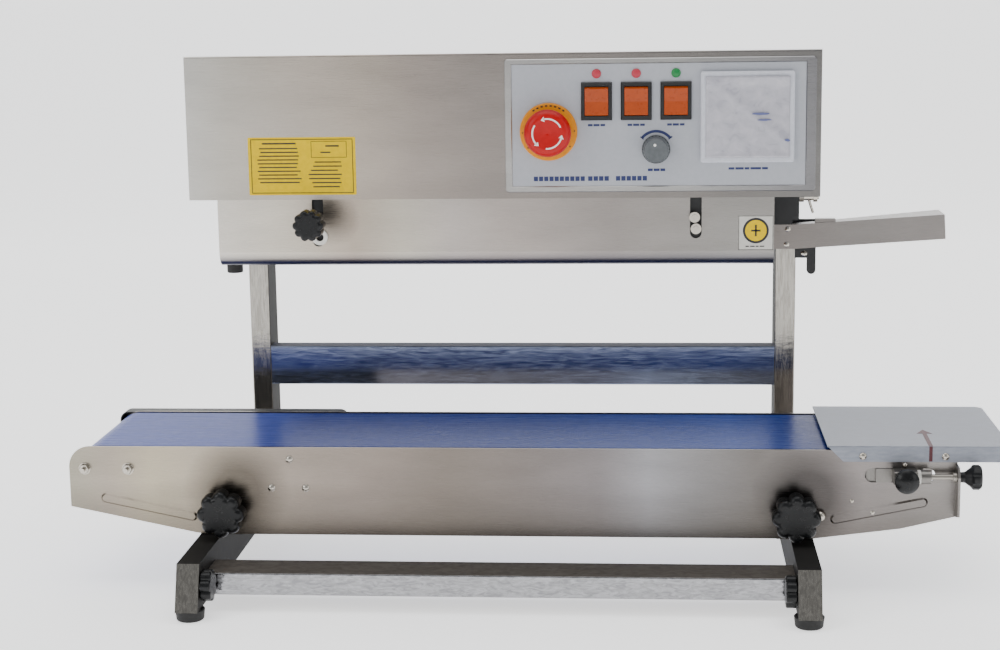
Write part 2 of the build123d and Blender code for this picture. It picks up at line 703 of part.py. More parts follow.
guard_back = guard_y + sheet
guard_outer_y = guard_y + guard_bend
with BuildPart() as belt_guard:
    with BuildSketch(Plane.YZ.offset(guard_x[0])):
        with BuildLine():
            bend_z = guard_z[0] + guard_bend
            Line((guard_y, guard_z[1]), (guard_y, bend_z))
            bend_at(guard_outer_y, bend_z, guard_bend, (guard_y, bend_z), (guard_outer_y, guard_z[0]))
            Line((guard_outer_y, guard_z[0]), (guard_outer_y + guard_lip, guard_z[0]))
            Line((guard_outer_y + guard_lip, guard_z[0]), (guard_outer_y + guard_lip, guard_z[0] + sheet))
            Line((guard_outer_y + guard_lip, guard_z[0] + sheet), (guard_outer_y, guard_z[0] + sheet))
            inner_bend = guard_bend - sheet
            bend_at(
                guard_outer_y, bend_z, inner_bend, (guard_outer_y, guard_z[0] + sheet), (guard_back, bend_z)
            )
            Line((guard_back, bend_z), (guard_back, guard_z[1]))
            Line((guard_back, guard_z[1]), (guard_y, guard_z[1]))
        make_face()
    extrude(amount=guard_x[1] - guard_x[0])
    for slot_x, slot_bottom in ((left_slot_x, left_slot_bottom), (right_slot_x, right_slot_bottom)):
        with BuildSketch(facing(guard_back + 1)):
            with Locations((slot_x, slot_bottom + 35)):
                SlotOverall(70, guard_slot_width, rotation=90)
        extrude(amount=sheet + 2, mode=Mode.SUBTRACT)
save(belt_guard.part, "belt_guard")

knob_face = guard_y - 36.0
with BuildPart() as guard_knob:
    knob_top = star_head(13.5, 10, 16.0, 3.0)
    add(knob_top.moved(Location((guard_knob_x, knob_face, guard_knob_z), (90, 0, 0))))
    rod_y(8, guard_knob_x, (knob_face, knob_face + 4), guard_knob_z)
    rod_y(4.5, guard_knob_x, (knob_face, guard_y - 3.2), guard_knob_z)
    rod_y(guard_stud_radius, guard_knob_x, (guard_y - 4, guard_y + 12), guard_knob_z)
save(guard_knob.part, "guard_knob")

# ---------------------------------------------------------------- bag guide
funnel_length = guide_length / cos(radians(guide_slope))
with BuildPart() as funnel:
    with BuildSketch():
        with BuildLine():
            Polyline(
                (0, 0), (funnel_length, 0), (funnel_length, 2 * guide_half_slot + 2 + guide_flare),
                (0, 2 * guide_half_slot + 2), close=True,
            )
        make_face()
    extrude(amount=-1)
    with BuildSketch():
        Rectangle(funnel_length, 1, align=(Align.MIN, Align.MIN))
        with BuildLine():
            Polyline(
                (0, 2 * guide_half_slot + 1), (funnel_length, 2 * guide_half_slot + 1 + guide_flare),
                (funnel_length, 2 * guide_half_slot + 2 + guide_flare), (0, 2 * guide_half_slot + 2),
                close=True,
            )
        make_face()
    extrude(amount=-guide_height)
guide_front = seal_y - guide_half_slot - 1
guide_top = guide_bottom + guide_height
sloped = funnel.part.moved(Location((guide_bend_x, guide_front, guide_top), (0, -guide_slope, 0)))
bracket_x = (214.5, guide_bend_x - 0.5)
with BuildPart() as bag_guide:
    add(sloped)
    tab_x = (guide_left, guide_bend_x + 1.5)
    tab_back = guide_front + 2 * guide_half_slot + 2
    block(tab_x, (guide_front, guide_front + 1), (guide_bottom, guide_top))
    block(tab_x, (guide_front, tab_back), (guide_top - 1, guide_top))
    block(tab_x, (tab_back - 1, tab_back), (guide_bottom, guide_top))
    clip_y = (guide_front + 1, guide_front + 9)
    clip_low = guide_top + 1.0
    block((guide_bend_x + 20, guide_bend_x + 38), clip_y, (clip_low, clip_low + 4))
save(bag_guide.part, "bag_guide")

hook_y = (0.0, 3.0)
arm_right = 239.5
with BuildPart() as guide_bracket:
    block(bracket_x, (guide_front, 6), (guide_top, head_bottom))
    block((guide_bend_x - 1, arm_right), (guide_front, 6), (guide_top + 4, head_bottom))
    block((bracket_x[0], 257.0), hook_y, (305, guide_top + 1.5))
    block((238.0, 257.0), hook_y, (289, 305))
    # a finger hangs at the plate's outer edge
    with BuildSketch(facing(hook_y[1])):
        with Locations((253, 283)):
            SlotOverall(18, 8, rotation=90)
    extrude(amount=hook_y[1] - hook_y[0])
save(guide_bracket.part, "guide_bracket")

with BuildPart() as guide_pin:
    pin_y, pin_z = -12.0, 346.5
    rod_x(3.5, (arm_right, 253), pin_y, pin_z)
    rod_x(2.5, (253, 258), pin_y, pin_z)
    rod_x(5, (253, 256.5), pin_y, pin_z)
    with BuildSketch(Plane.YZ.offset(arm_right + 1)):
        with Locations((pin_y, pin_z)):
            RegularPolygon(5.2, 6)
    extrude(amount=4)
    # a thin wire hangs from the pin to the clip on the guide
    with Locations(Location((250.8, pin_y, pin_z - 8), (0, -18, 0))):
        Cylinder(1.2, 14)
save(guide_pin.part, "guide_pin")

# ---------------------------------------------------------------- head fasteners and studs
with BuildPart() as head_fasteners:
    # a bush that the guard's knob screws into, hung from the base plate by an arm
    bush_back = guard_back + 14
    rod_y(6, guard_knob_x, (guard_back + gap, bush_back), guard_knob_z)
    block(
        (guard_knob_x - 5, guard_knob_x + 5), (bush_back - 3, bush_back), (guard_knob_z, head_bottom)
    )
    rod_y(
        guard_stud_radius + running, guard_knob_x, (guard_back, bush_back - 1), guard_knob_z, Mode.SUBTRACT
    )
    # the right stud carries two round nuts, one above the other
    for nut_x, nut_z in ((right_slot_x - 1.2, 338.0), (right_slot_x, 328.0)):
        rod_y(2.5, nut_x, (guard_y - 7, bush_back), nut_z)
        rod_y(4.6, nut_x, (guard_y - 6, guard_y - 1.0), nut_z)
    block(
        (right_slot_x - 5, right_slot_x + 5), (bush_back - 3, bush_back), (325, head_bottom)
    )
    # a black-tipped guide post at the outlet end
    rod_z(4, -269, -55, (288, head_bottom))
    rod_z(6, -269, -55, (286, 293))
    for x, z in ((229.5, 319), (228.5, 305)):
        add(screw(x, guide_front, z, 2.4, 1.4))
    add(screw(246.5, hook_y[0], 293.0, 2.6, 1.5))
    for x in (head_left + 20, head_left + 290, head_right - 20):
        for z in (base_plate_top + 6, head_top - head_top_drop - 12):
            add(screw(x, head_rear, z, 3.4, 2.2, forward=-1))
save(head_fasteners.part, "head_fasteners")

# ================================================================ conveyor
def side_plate(back, left):
    """One conveyor side plate, from back to back - plate, with the holes that both plates have."""
    with BuildPart() as made:
        with BuildSketch(facing(back)):
            with BuildLine():
                Polyline(
                    (left, 76.0), (-304.5, 52.0), (-290.0, plate_bottom), (248.5, plate_bottom),
                    (326.5, 61.0), (conveyor_right, 72.5), (conveyor_right, plate_top), (left, plate_top),
                    close=True,
                )
            make_face()
        extrude(amount=plate)
        top_left = made.edges().filter_by(Axis.Y).group_by(Axis.X)[0].sort_by(Axis.Z)[-1]
        fillet(top_left, 19)
        across = (back - plate - 1, back + 1)
        for x in clamp_x:
            rod_y(clamp_rod_radius + running, x, across, clamp_z, Mode.SUBTRACT)
        with BuildSketch(facing(back + 1)):
            with Locations(((tension_slot_x[0] + tension_slot_x[1]) / 2, sum(tension_slot_z) / 2)):
                SlotOverall(tension_slot_x[1] - tension_slot_x[0], tension_slot_z[1] - tension_slot_z[0])
        extrude(amount=plate + 2, mode=Mode.SUBTRACT)
    return made.part


front_back = machine_front + plate
flange_front = machine_front - 19.0
rib_height = 1.6
with BuildPart() as front_side_plate:
    add(side_plate(front_back, conveyor_left))
    # the right end is bent forward into a flange that holds the tension screw
    with BuildSketch(Plane.YZ.offset(conveyor_right - plate)):
        with BuildLine():
            Polyline(
                (machine_front, 72.5), (flange_front, 77.0), (flange_front, 112.0),
                (flange_front + 6, 120.0), (machine_front, 120.0), close=True,
            )
        make_face()
    extrude(amount=plate)
    hole = (conveyor_right - plate - 1, conveyor_right + 1)
    rod_x(tension_screw_radius + running, hole, tension_screw_y, tension_screw_z, Mode.SUBTRACT)
    # two stiffening ribs pressed outwards, each alongside a slanted lower edge
    for start, end in (((-392.0, 85.0), (-304.0, 66.6)), ((265.0, 68.5), (349.5, 86.0))):
        middle = ((start[0] + end[0]) / 2, (start[1] + end[1]) / 2)
        run = (end[0] - start[0], end[1] - start[1])
        with BuildSketch(facing(machine_front)):
            with Locations(middle):
                SlotOverall(sqrt(run[0] ** 2 + run[1] ** 2), 9, rotation=degrees(atan2(run[1], run[0])))
        extrude(amount=rib_height, taper=45)
save(front_side_plate.part, "front_side_plate")

with BuildPart() as rear_side_plate:
    add(side_plate(rear_plate_y + plate, rear_plate_left))
    across = (rear_plate_y - 1, rear_plate_y + plate + 1)
    rod_y(8, drive_roller_x, across, roller_z, Mode.SUBTRACT)
    rod_y(8, conveyor_motor_x, across, roller_z, Mode.SUBTRACT)
save(rear_side_plate.part, "rear_side_plate")

bed_x = (drive_roller_x + 24, driven_roller_x - 27)
bed_y = (belt_front + 1, belt_back - 1)
bed_top = roller_z + belt_inner - 0.2
with BuildPart() as slider_bed:
    for edge in ((bed_y[0], bed_y[0] + 1.5), (bed_y[1] - 1.5, bed_y[1])):
        block(bed_x, edge, (bed_top - 23, bed_top))
    for x in (-335, -120, 60, 190):
        block((x - 10, x + 10), (front_back, bed_y[0]), (bed_top - 20, bed_top - 10))
        block((x - 10, x + 10), (bed_y[1], rear_plate_y), (bed_top - 20, bed_top - 10))
    rod_y(17, conveyor_motor_x, (bed_y[0] - 1, bed_y[1] + 1), roller_z, Mode.SUBTRACT)
    # the level sheet goes on last, over the cut that clears the gearmotor
    block(bed_x, bed_y, (bed_top - 1.5, bed_top))
save(slider_bed.part, "slider_bed")

belt = loop_belt(
    drive_roller_x, driven_roller_x, roller_z, belt_inner, belt_thickness, belt_back - belt_front,
    facing(belt_back),
)
save(belt, "conveyor_belt")

with BuildPart() as drive_roller:
    rod_y(roller_radius, drive_roller_x, (belt_front + 0.5, belt_back - 0.5), roller_z)
    rod_y(5, drive_roller_x, (front_back + 0.5, pulley_y[1] + 2), roller_z)
    rod_y(pulley_radius, drive_roller_x, pulley_y, roller_z)
    for edge in (pulley_y[0] - 1, pulley_y[1]):
        rod_y(pulley_radius + 2.5, drive_roller_x, (edge, edge + 1), roller_z)
save(drive_roller.part, "drive_roller")

bearing_front = (front_back, belt_front - 0.5)
bearing_rear = (belt_back + 0.5, rear_plate_y)
with BuildPart() as roller_bearings:
    for y in (bearing_front, bearing_rear):
        block((rear_plate_left + 1, bearing_bolt_x[1] + 6), y, (roller_z - 11, roller_z + 11))
    fillet(roller_bearings.edges().filter_by(Axis.Y), 4)
    rod_y(5 + running, drive_roller_x, (bearing_front[0] - 1, bearing_rear[1] + 1), roller_z, Mode.SUBTRACT)
save(roller_bearings.part, "roller_bearings")

with BuildPart() as driven_roller:
    rod_y(roller_radius, driven_roller_x, (belt_front + 0.5, belt_back - 0.5), roller_z)
    rod_y(3, driven_roller_x, (machine_front + 0.5, rear_plate_y + plate - 0.5), roller_z)
save(driven_roller.part, "driven_roller")

with BuildPart() as conveyor_gearmotor:
    block(
        (conveyor_motor_x - 25, conveyor_motor_x + 25), (front_back, front_back + 3),
        (roller_z - 23, roller_z + 15),
    )
    fillet(conveyor_gearmotor.edges().filter_by(Axis.Y), 5)
    rod_y(16, conveyor_motor_x, (front_back + 3, 35), roller_z)
    chamfer(conveyor_gearmotor.faces().sort_by(Axis.Y)[-1].edges(), 1)
    rod_y(5 + running, conveyor_motor_x, (20, 36), roller_z, Mode.SUBTRACT)
save(conveyor_gearmotor.part, "conveyor_gearmotor")

with BuildPart() as motor_pulley:
    rod_y(5, conveyor_motor_x, (21, pulley_y[1] + 2), roller_z)
    rod_y(pulley_radius, conveyor_motor_x, pulley_y, roller_z)
    for edge in (pulley_y[0] - 1, pulley_y[1]):
        rod_y(pulley_radius + 2.5, conveyor_motor_x, (edge, edge + 1), roller_z)
save(motor_pulley.part, "motor_pulley")

small_belt = loop_belt(
    drive_roller_x, conveyor_motor_x, roller_z, pulley_radius + gap, 1.6, pulley_y[1] - pulley_y[0] - 1.2,
    facing(pulley_y[1] - 0.6),
)
save(small_belt, "pulley_belt")

drive_cover_back = pulley_y[1] + 6
cover_x = (drive_roller_x - 20.5, conveyor_motor_x + 30)
cover_middle, cover_length = sum(cover_x) / 2, cover_x[1] - cover_x[0]
with BuildPart() as drive_cover:
    with BuildSketch(facing(drive_cover_back)):
        with Locations((cover_middle, roller_z - 3)):
            RectangleRounded(cover_length, 45, 8)
    extrude(amount=drive_cover_back - rear_plate_y - plate)
    fillet(drive_cover.faces().sort_by(Axis.Y)[-1].edges(), 2)
    with BuildSketch(facing(drive_cover_back - sheet)):
        with Locations((cover_middle, roller_z - 3)):
            RectangleRounded(cover_length - 2 * sheet, 45 - 2 * sheet, 8 - sheet)
    extrude(amount=drive_cover_back, mode=Mode.SUBTRACT)
save(drive_cover.part, "drive_cover")

# The infeed plate is one bent sheet: a level table and a front flange with a slanted left end.
infeed_front = machine_front - 0.2 - sheet
with BuildPart() as infeed_plate:
    with BuildSketch(Plane.XY.offset(infeed_top - sheet)):
        with BuildLine():
            Polyline(
                (infeed_x[0], infeed_front), (infeed_x[1], infeed_front), (infeed_x[1], infeed_back),
                (infeed_x[0], infeed_back), close=True,
            )
        make_face()
    extrude(amount=sheet)
    fillet(infeed_plate.edges().filter_by(Axis.Z).sort_by(Axis.X)[-2:].sort_by(Axis.Y)[-1], 8)
    with BuildSketch(facing(infeed_front + sheet)):
        with BuildLine():
            Polyline(
                (infeed_x[0], infeed_top), (infeed_x[0] + 14, infeed_flange_bottom),
                (infeed_x[1], infeed_flange_bottom), (infeed_x[1], infeed_top), close=True,
            )
        make_face()
    extrude(amount=sheet)
    top_edge = infeed_plate.edges().filter_by(Axis.X).group_by(Axis.Z)[-1].sort_by(Axis.Y)[0]
    fillet(top_edge, 1.0)
    for x in infeed_screw_x:
        rod_y(1.6, x, (infeed_front - 1, machine_front), infeed_screw_z, Mode.SUBTRACT)
save(infeed_plate.part, "infeed_plate")

with BuildPart() as conveyor_fasteners:
    for x in bearing_bolt_x:
        add(hex_nut(x, machine_front, roller_z, 8, 4, 2, washer_radius=5.5, washer=0.8))
        rod_y(2, x, (machine_front - 9, machine_front), roller_z)
    for x, z in motor_screws:
        add(screw(x, machine_front, z, 3.4, 2.2))
    for x in infeed_screw_x:
        add(screw(x, infeed_front, infeed_screw_z, 3.2, 2.2, 1.5, 1.2))
    add(screw(lock_knob_x + 1, machine_front, 119.5, 2.2, 3.5))
    add(screw(256, machine_front, 73, 5, 8))
    add(screw(283.5, machine_front, 86, 1.8, 1.0))
    add(screw(301.5, machine_front - rib_height, 76, 1.8, 1.0))
    back_face = rear_plate_y + plate
    for x in (drive_roller_x + 40, conveyor_motor_x + 45):
        add(screw(x, back_face, roller_z - 40, 3.4, 2.2, forward=-1))
    for x in clamp_x:
        add(hex_nut(x, back_face + 6.5, clamp_z, 13, 6.5, clamp_rod_radius + running))
save(conveyor_fasteners.part, "conveyor_fasteners")

# Tension sliders carry the driven roller's axle; the front one reaches out through its slot.
block_x = (driven_roller_x - 6.5, driven_roller_x + 7.0)
slot_z = (tension_slot_z[0] + gap, tension_slot_z[1] - gap)
bar_y = (machine_front - 18, machine_front - 1)
with BuildPart() as tension_sliders:
    block(block_x, (machine_front - 1, belt_front - 0.6), slot_z)
    block((296, 345), (front_back + gap, belt_front - 0.6), (99, 120))
    block((block_x[1], 338), (bar_y[1], front_back + gap), (105, 115))
    block((318, 338), bar_y, (105, 117))
    fillet(tension_sliders.edges().filter_by(Axis.X).filter_by(lambda e: e.center().Y < bar_y[0] + 1), 2)
    rod_x(6, (338, 350), tension_screw_y, tension_screw_z)
    rod_x(tension_screw_radius + running, (332, 351), tension_screw_y, tension_screw_z, Mode.SUBTRACT)
    rod_y(3 + running, lock_knob_x, (bar_y[0] - 1, bar_y[1] - 1), lock_knob_z, Mode.SUBTRACT)
    block(block_x, (belt_back + 0.6, rear_plate_y + plate + 1), slot_z)
    block((296, 325), (belt_back + 0.6, rear_plate_y - gap), (99, 120))
    rod_y(3 + running, driven_roller_x, (machine_front, rear_plate_y + plate), roller_z, Mode.SUBTRACT)
save(tension_sliders.part, "tension_sliders")

with BuildPart() as lock_knob:
    with BuildSketch(Plane.XZ):
        with BuildLine():
            Line((0, -14), (3, -14))
            Line((3, -14), (3, 0))
            Line((3, 0), (9, 0))
            Line((9, 0), (10.6, 2.5))
            Line((10.6, 2.5), (10.6, 7))
            dome(10.6, 7, 11.8)
            Line((0, 11.8), (0, -14))
        make_face()
    revolve(axis=Axis.Z)
save(lock_knob.part.moved(Location((lock_knob_x, bar_y[0] - 0.5, lock_knob_z), (90, 0, 0))), "lock_knob")

with BuildPart() as tension_screw:
    with BuildSketch(Plane.XZ):
        with BuildLine():
            Polyline(
                (0, 333.5), (tension_screw_radius, 333.5), (tension_screw_radius, 369), (4.2, 369),
                (4.2, 372.2), (tension_screw_radius, 372.2), (tension_screw_radius, 374.8), (4.5, 374.8),
                (4.8, 379), (8.5, 384), (11, 386), (11, 391), (9.5, 393), (0, 393), close=True,
            )
        make_face()
    revolve(axis=Axis.Z)
    with Locations((0, 0, 388)):
        with PolarLocations(13, 6):
            Cylinder(3.6, 16, mode=Mode.SUBTRACT)
moved_screw = tension_screw.part.moved(Location((0, tension_screw_y, tension_screw_z), (0, 90, 0)))
save(moved_screw, "tension_screw")

big_star = star_head(21.5, 8, 17.0, 5.0)
for name, x in zip(("left", "right"), clamp_x):
    with BuildPart() as clamp_knob:
        add(big_star.moved(Location((x, machine_front - 9, clamp_z), (90, 0, 0))))
        with BuildSketch(facing(machine_front - 0.5)):
            with Locations((x, clamp_z)):
                Circle(10)
        extrude(amount=8.5, taper=-12)
        rod_y(clamp_rod_radius, x, (machine_front - 10, rear_plate_y + plate + 9), clamp_z)
    save(clamp_knob.part, f"{name}_clamp_knob")
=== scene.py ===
import json
import math
import random

import bmesh
import bpy
from mathutils import Matrix, Vector


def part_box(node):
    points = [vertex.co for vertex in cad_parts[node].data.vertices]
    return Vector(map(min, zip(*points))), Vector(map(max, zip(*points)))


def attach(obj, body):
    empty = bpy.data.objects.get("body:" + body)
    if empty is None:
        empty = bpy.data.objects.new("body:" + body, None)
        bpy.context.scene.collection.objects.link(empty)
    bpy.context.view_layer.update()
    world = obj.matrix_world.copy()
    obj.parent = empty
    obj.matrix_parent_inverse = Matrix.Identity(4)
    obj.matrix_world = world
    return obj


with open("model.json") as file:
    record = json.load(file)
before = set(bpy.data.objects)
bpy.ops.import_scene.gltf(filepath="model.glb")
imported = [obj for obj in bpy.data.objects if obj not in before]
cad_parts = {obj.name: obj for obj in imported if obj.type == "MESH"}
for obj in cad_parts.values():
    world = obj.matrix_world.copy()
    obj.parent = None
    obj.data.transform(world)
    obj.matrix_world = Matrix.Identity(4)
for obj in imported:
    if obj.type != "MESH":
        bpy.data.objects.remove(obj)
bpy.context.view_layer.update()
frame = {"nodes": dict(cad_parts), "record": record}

MM = 0.001
rng = random.Random(7)


# ---------------------------------------------------------------- measures taken from the frame
def low(node):
    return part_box(node)[0]


def high(node):
    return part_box(node)[1]


def middle(node):
    return (low(node) + high(node)) / 2


panel_face = low("control_panel").y
head_face = low("head_cover").y
guard_face = low("belt_guard").y
guard_slot_x = low("belt_guard").x + 91 * MM, high("belt_guard").x - 67.5 * MM


# ---------------------------------------------------------------- materials
NOISE_LOW, NOISE_HIGH = 0.3, 0.7  # nearly all of a noise pattern lies between these
FROM_NOISE = {"From_Min": NOISE_LOW, "From_Max": NOISE_HIGH}
MIX_FACTOR, MIX_A, MIX_B, MIX_RESULT = 0, 6, 7, 2  # a Mix node's sockets when it mixes colours


def linear(code):
    """An sRGB hex colour as the linear RGBA that the shader wants."""
    parts = [int(code[i : i + 2], 16) / 255 for i in (1, 3, 5)]
    return [c / 12.92 if c <= 0.04045 else ((c + 0.055) / 1.055) ** 2.4 for c in parts] + [1.0]


def node(tree, kind, inputs=(), stops=(), **settings):
    """Adds one node. Inputs are (input, socket or value) pairs, stops are a colour ramp's (place, hex)
    pairs, and the settings are the node's own properties or inputs by name."""
    made = tree.nodes.new(kind)
    for name, value in settings.items():
        if hasattr(made, name) and name not in made.inputs:
            setattr(made, name, value)
        else:
            made.inputs[name.replace("_", " ")].default_value = value
    for name, source in inputs:
        if isinstance(source, bpy.types.NodeSocket):
            tree.links.new(source, made.inputs[name])
        else:
            made.inputs[name].default_value = source
    for count, (place, code) in enumerate(stops):
        marks = made.color_ramp.elements
        mark = marks[count] if count < 2 else marks.new(place)
        mark.position = place
        mark.color = linear(code)
    return made


def surface(name, colour, **settings):
    """A Principled material with its uniform values set on the shader's own sockets."""
    made = bpy.data.materials.new(name)
    made.use_nodes = True
    shader = made.node_tree.nodes["Principled BSDF"]
    shader.inputs["Base Color"].default_value = linear(colour)
    for key, value in settings.items():
        shader.inputs[key.replace("_", " ")].default_value = value
    return made, made.node_tree, shader


def in_mm(tree, size):
    """Object coordinates scaled so that one unit of pattern is size millimetres along X, Y and Z."""
    place = node(tree, "ShaderNodeTexCoord")
    scale = [1000 / s for s in size]
    mapped = node(tree, "ShaderNodeMapping", [("Vector", place.outputs["Object"])], Scale=scale)
    return mapped.outputs["Vector"]


def along_x(tree, stops):
    """A colour that follows stops, (millimetre, hex) pairs, from left to right across a sheet."""
    left, right = stops[0][0], stops[-1][0]
    place = node(tree, "ShaderNodeTexCoord")
    split = node(tree, "ShaderNodeSeparateXYZ", [("Vector", place.outputs["Object"])])
    run = node(
        tree, "ShaderNodeMapRange", [("Value", split.outputs["X"])], From_Min=left * MM, From_Max=right * MM
    )
    shares = [((x - left) / (right - left), code) for x, code in stops]
    return node(tree, "ShaderNodeValToRGB", [("Fac", run.outputs["Result"])], shares).outputs["Color"]


def shaded(tree, colour, factor, least, most=1.0, start=NOISE_LOW, end=NOISE_HIGH):
    """The colour made darker, down to least, where factor is low."""
    amount = node(
        tree, "ShaderNodeMapRange", [("Value", factor)],
        From_Min=start, From_Max=end, To_Min=least, To_Max=most,
    )
    made = node(
        tree, "ShaderNodeVectorMath", [(0, colour), ("Scale", amount.outputs["Result"])], operation="SCALE"
    )
    return made.outputs["Vector"]


def rubbed_stainless(name, stops, foot, top, painted_reflection_spots=(), foot_reflection_colour="#55504a", rough=(0.24, 0.34)):
    """304 sheet with a long-grain belt finish. Its colour is painted reflection: soft bands of warm and cool
    grey from left to right stand for the room that the rub along X smears, and a painted reflection of the
    ground darkens the sheet towards its foot.

    The grain is about 0.3 mm wide on the real sheet and is drawn 0.9 mm wide so that it shows.
    """
    made, tree, shader = surface(name, stops[0][1], Metallic=1.0)
    grain = node(tree, "ShaderNodeTexNoise", [("Vector", in_mm(tree, [90, 0.9, 0.9]))], Detail=3.0)
    cloud = node(tree, "ShaderNodeTexNoise", [("Vector", in_mm(tree, [300, 100, 90]))], Detail=1.0)
    place = node(tree, "ShaderNodeTexCoord")
    split = node(tree, "ShaderNodeSeparateXYZ", [("Vector", place.outputs["Object"])])
    # painted reflection: the colour turns darker towards the sheet's foot, where it mirrors the ground
    rise = node(
        tree, "ShaderNodeMapRange", [("Value", split.outputs["Z"])], From_Min=foot * MM, From_Max=top * MM
    )
    blend = node(
        tree, "ShaderNodeMix",
        [(MIX_FACTOR, rise.outputs["Result"]), (MIX_A, linear(foot_reflection_colour)), (MIX_B, along_x(tree, stops))],
        data_type="RGBA",
    )
    colour = shaded(tree, blend.outputs[MIX_RESULT], cloud.outputs["Fac"], 0.94, 1.04)
    # painted reflection: a knob that stands off the sheet is painted into it as a soft dark patch, where the
    # sheet would mirror it
    for spot, reach, depth in painted_reflection_spots:
        away = node(
            tree, "ShaderNodeVectorMath", [(0, place.outputs["Object"]), (1, spot)], operation="DISTANCE"
        )
        colour = shaded(tree, colour, away.outputs["Value"], depth, 1.0, reach * 0.4, reach)
    colour = shaded(tree, colour, grain.outputs["Fac"], 0.94, 1.03)
    gloss = node(
        tree, "ShaderNodeMapRange", [("Value", grain.outputs["Fac"])],
        To_Min=rough[0], To_Max=rough[1], **FROM_NOISE,
    )
    bump = node(tree, "ShaderNodeBump", [("Height", grain.outputs["Fac"])], Strength=0.05, Distance=0.4 * MM)
    tree.links.new(colour, shader.inputs["Base Color"])
    tree.links.new(gloss.outputs["Result"], shader.inputs["Roughness"])
    tree.links.new(bump.outputs["Normal"], shader.inputs["Normal"])
    return made


def polished_tube(name, front, side, waviness, streak):
    """Mirror-buffed 304 tube with painted reflections: the wide faces are painted the pale colour of the
    room, the side and top faces the dark colour of the machine next to them, and the rolled wall bends what
    it mirrors."""
    made, tree, shader = surface(name, front, Specular_IOR_Level=0.05)
    wave = node(tree, "ShaderNodeTexNoise", [("Vector", in_mm(tree, [70, 45, 30]))], Detail=2.0)
    smear = node(tree, "ShaderNodeTexNoise", [("Vector", in_mm(tree, streak))], Detail=4.0, Distortion=1.5)
    geometry = node(tree, "ShaderNodeNewGeometry")
    split = node(tree, "ShaderNodeSeparateXYZ", [("Vector", geometry.outputs["Normal"])])
    facing = node(
        tree, "ShaderNodeMath", [(0, split.outputs["Y"]), (1, split.outputs["Y"])], operation="MULTIPLY"
    ).outputs[0]
    # painted reflection: the colour follows the way the face looks, dark on the sides and top, pale on the
    # wide faces
    side_end, front_start = 0.2, 0.7
    colour = node(tree, "ShaderNodeValToRGB", [("Fac", facing)], [(side_end, side), (front_start, front)])
    colour = shaded(tree, colour.outputs["Color"], smear.outputs["Fac"], 0.7, 1.08, 0.35, 0.65)
    metal = node(tree, "ShaderNodeMapRange", [("Value", facing)], From_Min=side_end, From_Max=front_start)
    smooth = node(
        tree, "ShaderNodeMapRange", [("Value", smear.outputs["Fac"])], To_Min=0.1, To_Max=0.2, **FROM_NOISE
    )
    side_haze = node(
        tree, "ShaderNodeMapRange", [("Value", facing)],
        From_Min=side_end, From_Max=front_start, To_Min=0.4, To_Max=0.0,
    )
    dull = node(tree, "ShaderNodeMath", [(0, smooth.outputs["Result"]), (1, side_haze.outputs["Result"])])
    bump = node(tree, "ShaderNodeBump", [("Height", wave.outputs["Fac"])], Strength=waviness, Distance=2 * MM)
    tree.links.new(colour, shader.inputs["Base Color"])
    tree.links.new(metal.outputs["Result"], shader.inputs["Metallic"])
    tree.links.new(dull.outputs[0], shader.inputs["Roughness"])
    tree.links.new(bump.outputs["Normal"], shader.inputs["Normal"])
    return made


def moulded_plastic(name, colour, shade, rough, grit=1.2, depth=0.06, **settings):
    """Injection-moulded plastic: even colour, a fine spark-eroded texture and slight sheen changes.

    The texture is about 0.2 mm on the real parts and is drawn at grit millimetres so that it shows.
    """
    made, tree, shader = surface(name, colour, **settings)
    tone = node(tree, "ShaderNodeTexNoise", [("Vector", in_mm(tree, [18, 18, 18]))], Detail=3.0)
    texture = node(tree, "ShaderNodeTexNoise", [("Vector", in_mm(tree, [grit] * 3))], Detail=2.0)
    tint = node(
        tree, "ShaderNodeValToRGB", [("Fac", tone.outputs["Fac"])],
        [(NOISE_LOW, shade), (NOISE_HIGH, colour)],
    )
    sheen = node(
        tree, "ShaderNodeMapRange", [("Value", tone.outputs["Fac"])],
        To_Min=rough - 0.05, To_Max=rough + 0.06, **FROM_NOISE,
    )
    bump = node(
        tree, "ShaderNodeBump", [("Height", texture.outputs["Fac"])], Strength=depth, Distance=0.4 * MM
    )
    tree.links.new(tint.outputs["Color"], shader.inputs["Base Color"])
    tree.links.new(sheen.outputs["Result"], shader.inputs["Roughness"])
    tree.links.new(bump.outputs["Normal"], shader.inputs["Normal"])
    return made


def turned_metal(name, colour, shade, rough):
    """Lathe-turned or machined metal: the tool leaves fine rings, 0.1 mm apart on the real parts and
    drawn 0.8 mm apart so that they show."""
    made, tree, shader = surface(name, colour, Metallic=1.0)
    rings = node(tree, "ShaderNodeTexNoise", [("Vector", in_mm(tree, [8, 8, 0.8]))], Detail=2.0)
    tint = node(
        tree, "ShaderNodeValToRGB", [("Fac", rings.outputs["Fac"])],
        [(NOISE_LOW, shade), (NOISE_HIGH, colour)],
    )
    gloss = node(
        tree, "ShaderNodeMapRange", [("Value", rings.outputs["Fac"])],
        To_Min=rough - 0.06, To_Max=rough + 0.08, **FROM_NOISE,
    )
    tree.links.new(tint.outputs["Color"], shader.inputs["Base Color"])
    tree.links.new(gloss.outputs["Result"], shader.inputs["Roughness"])
    return made


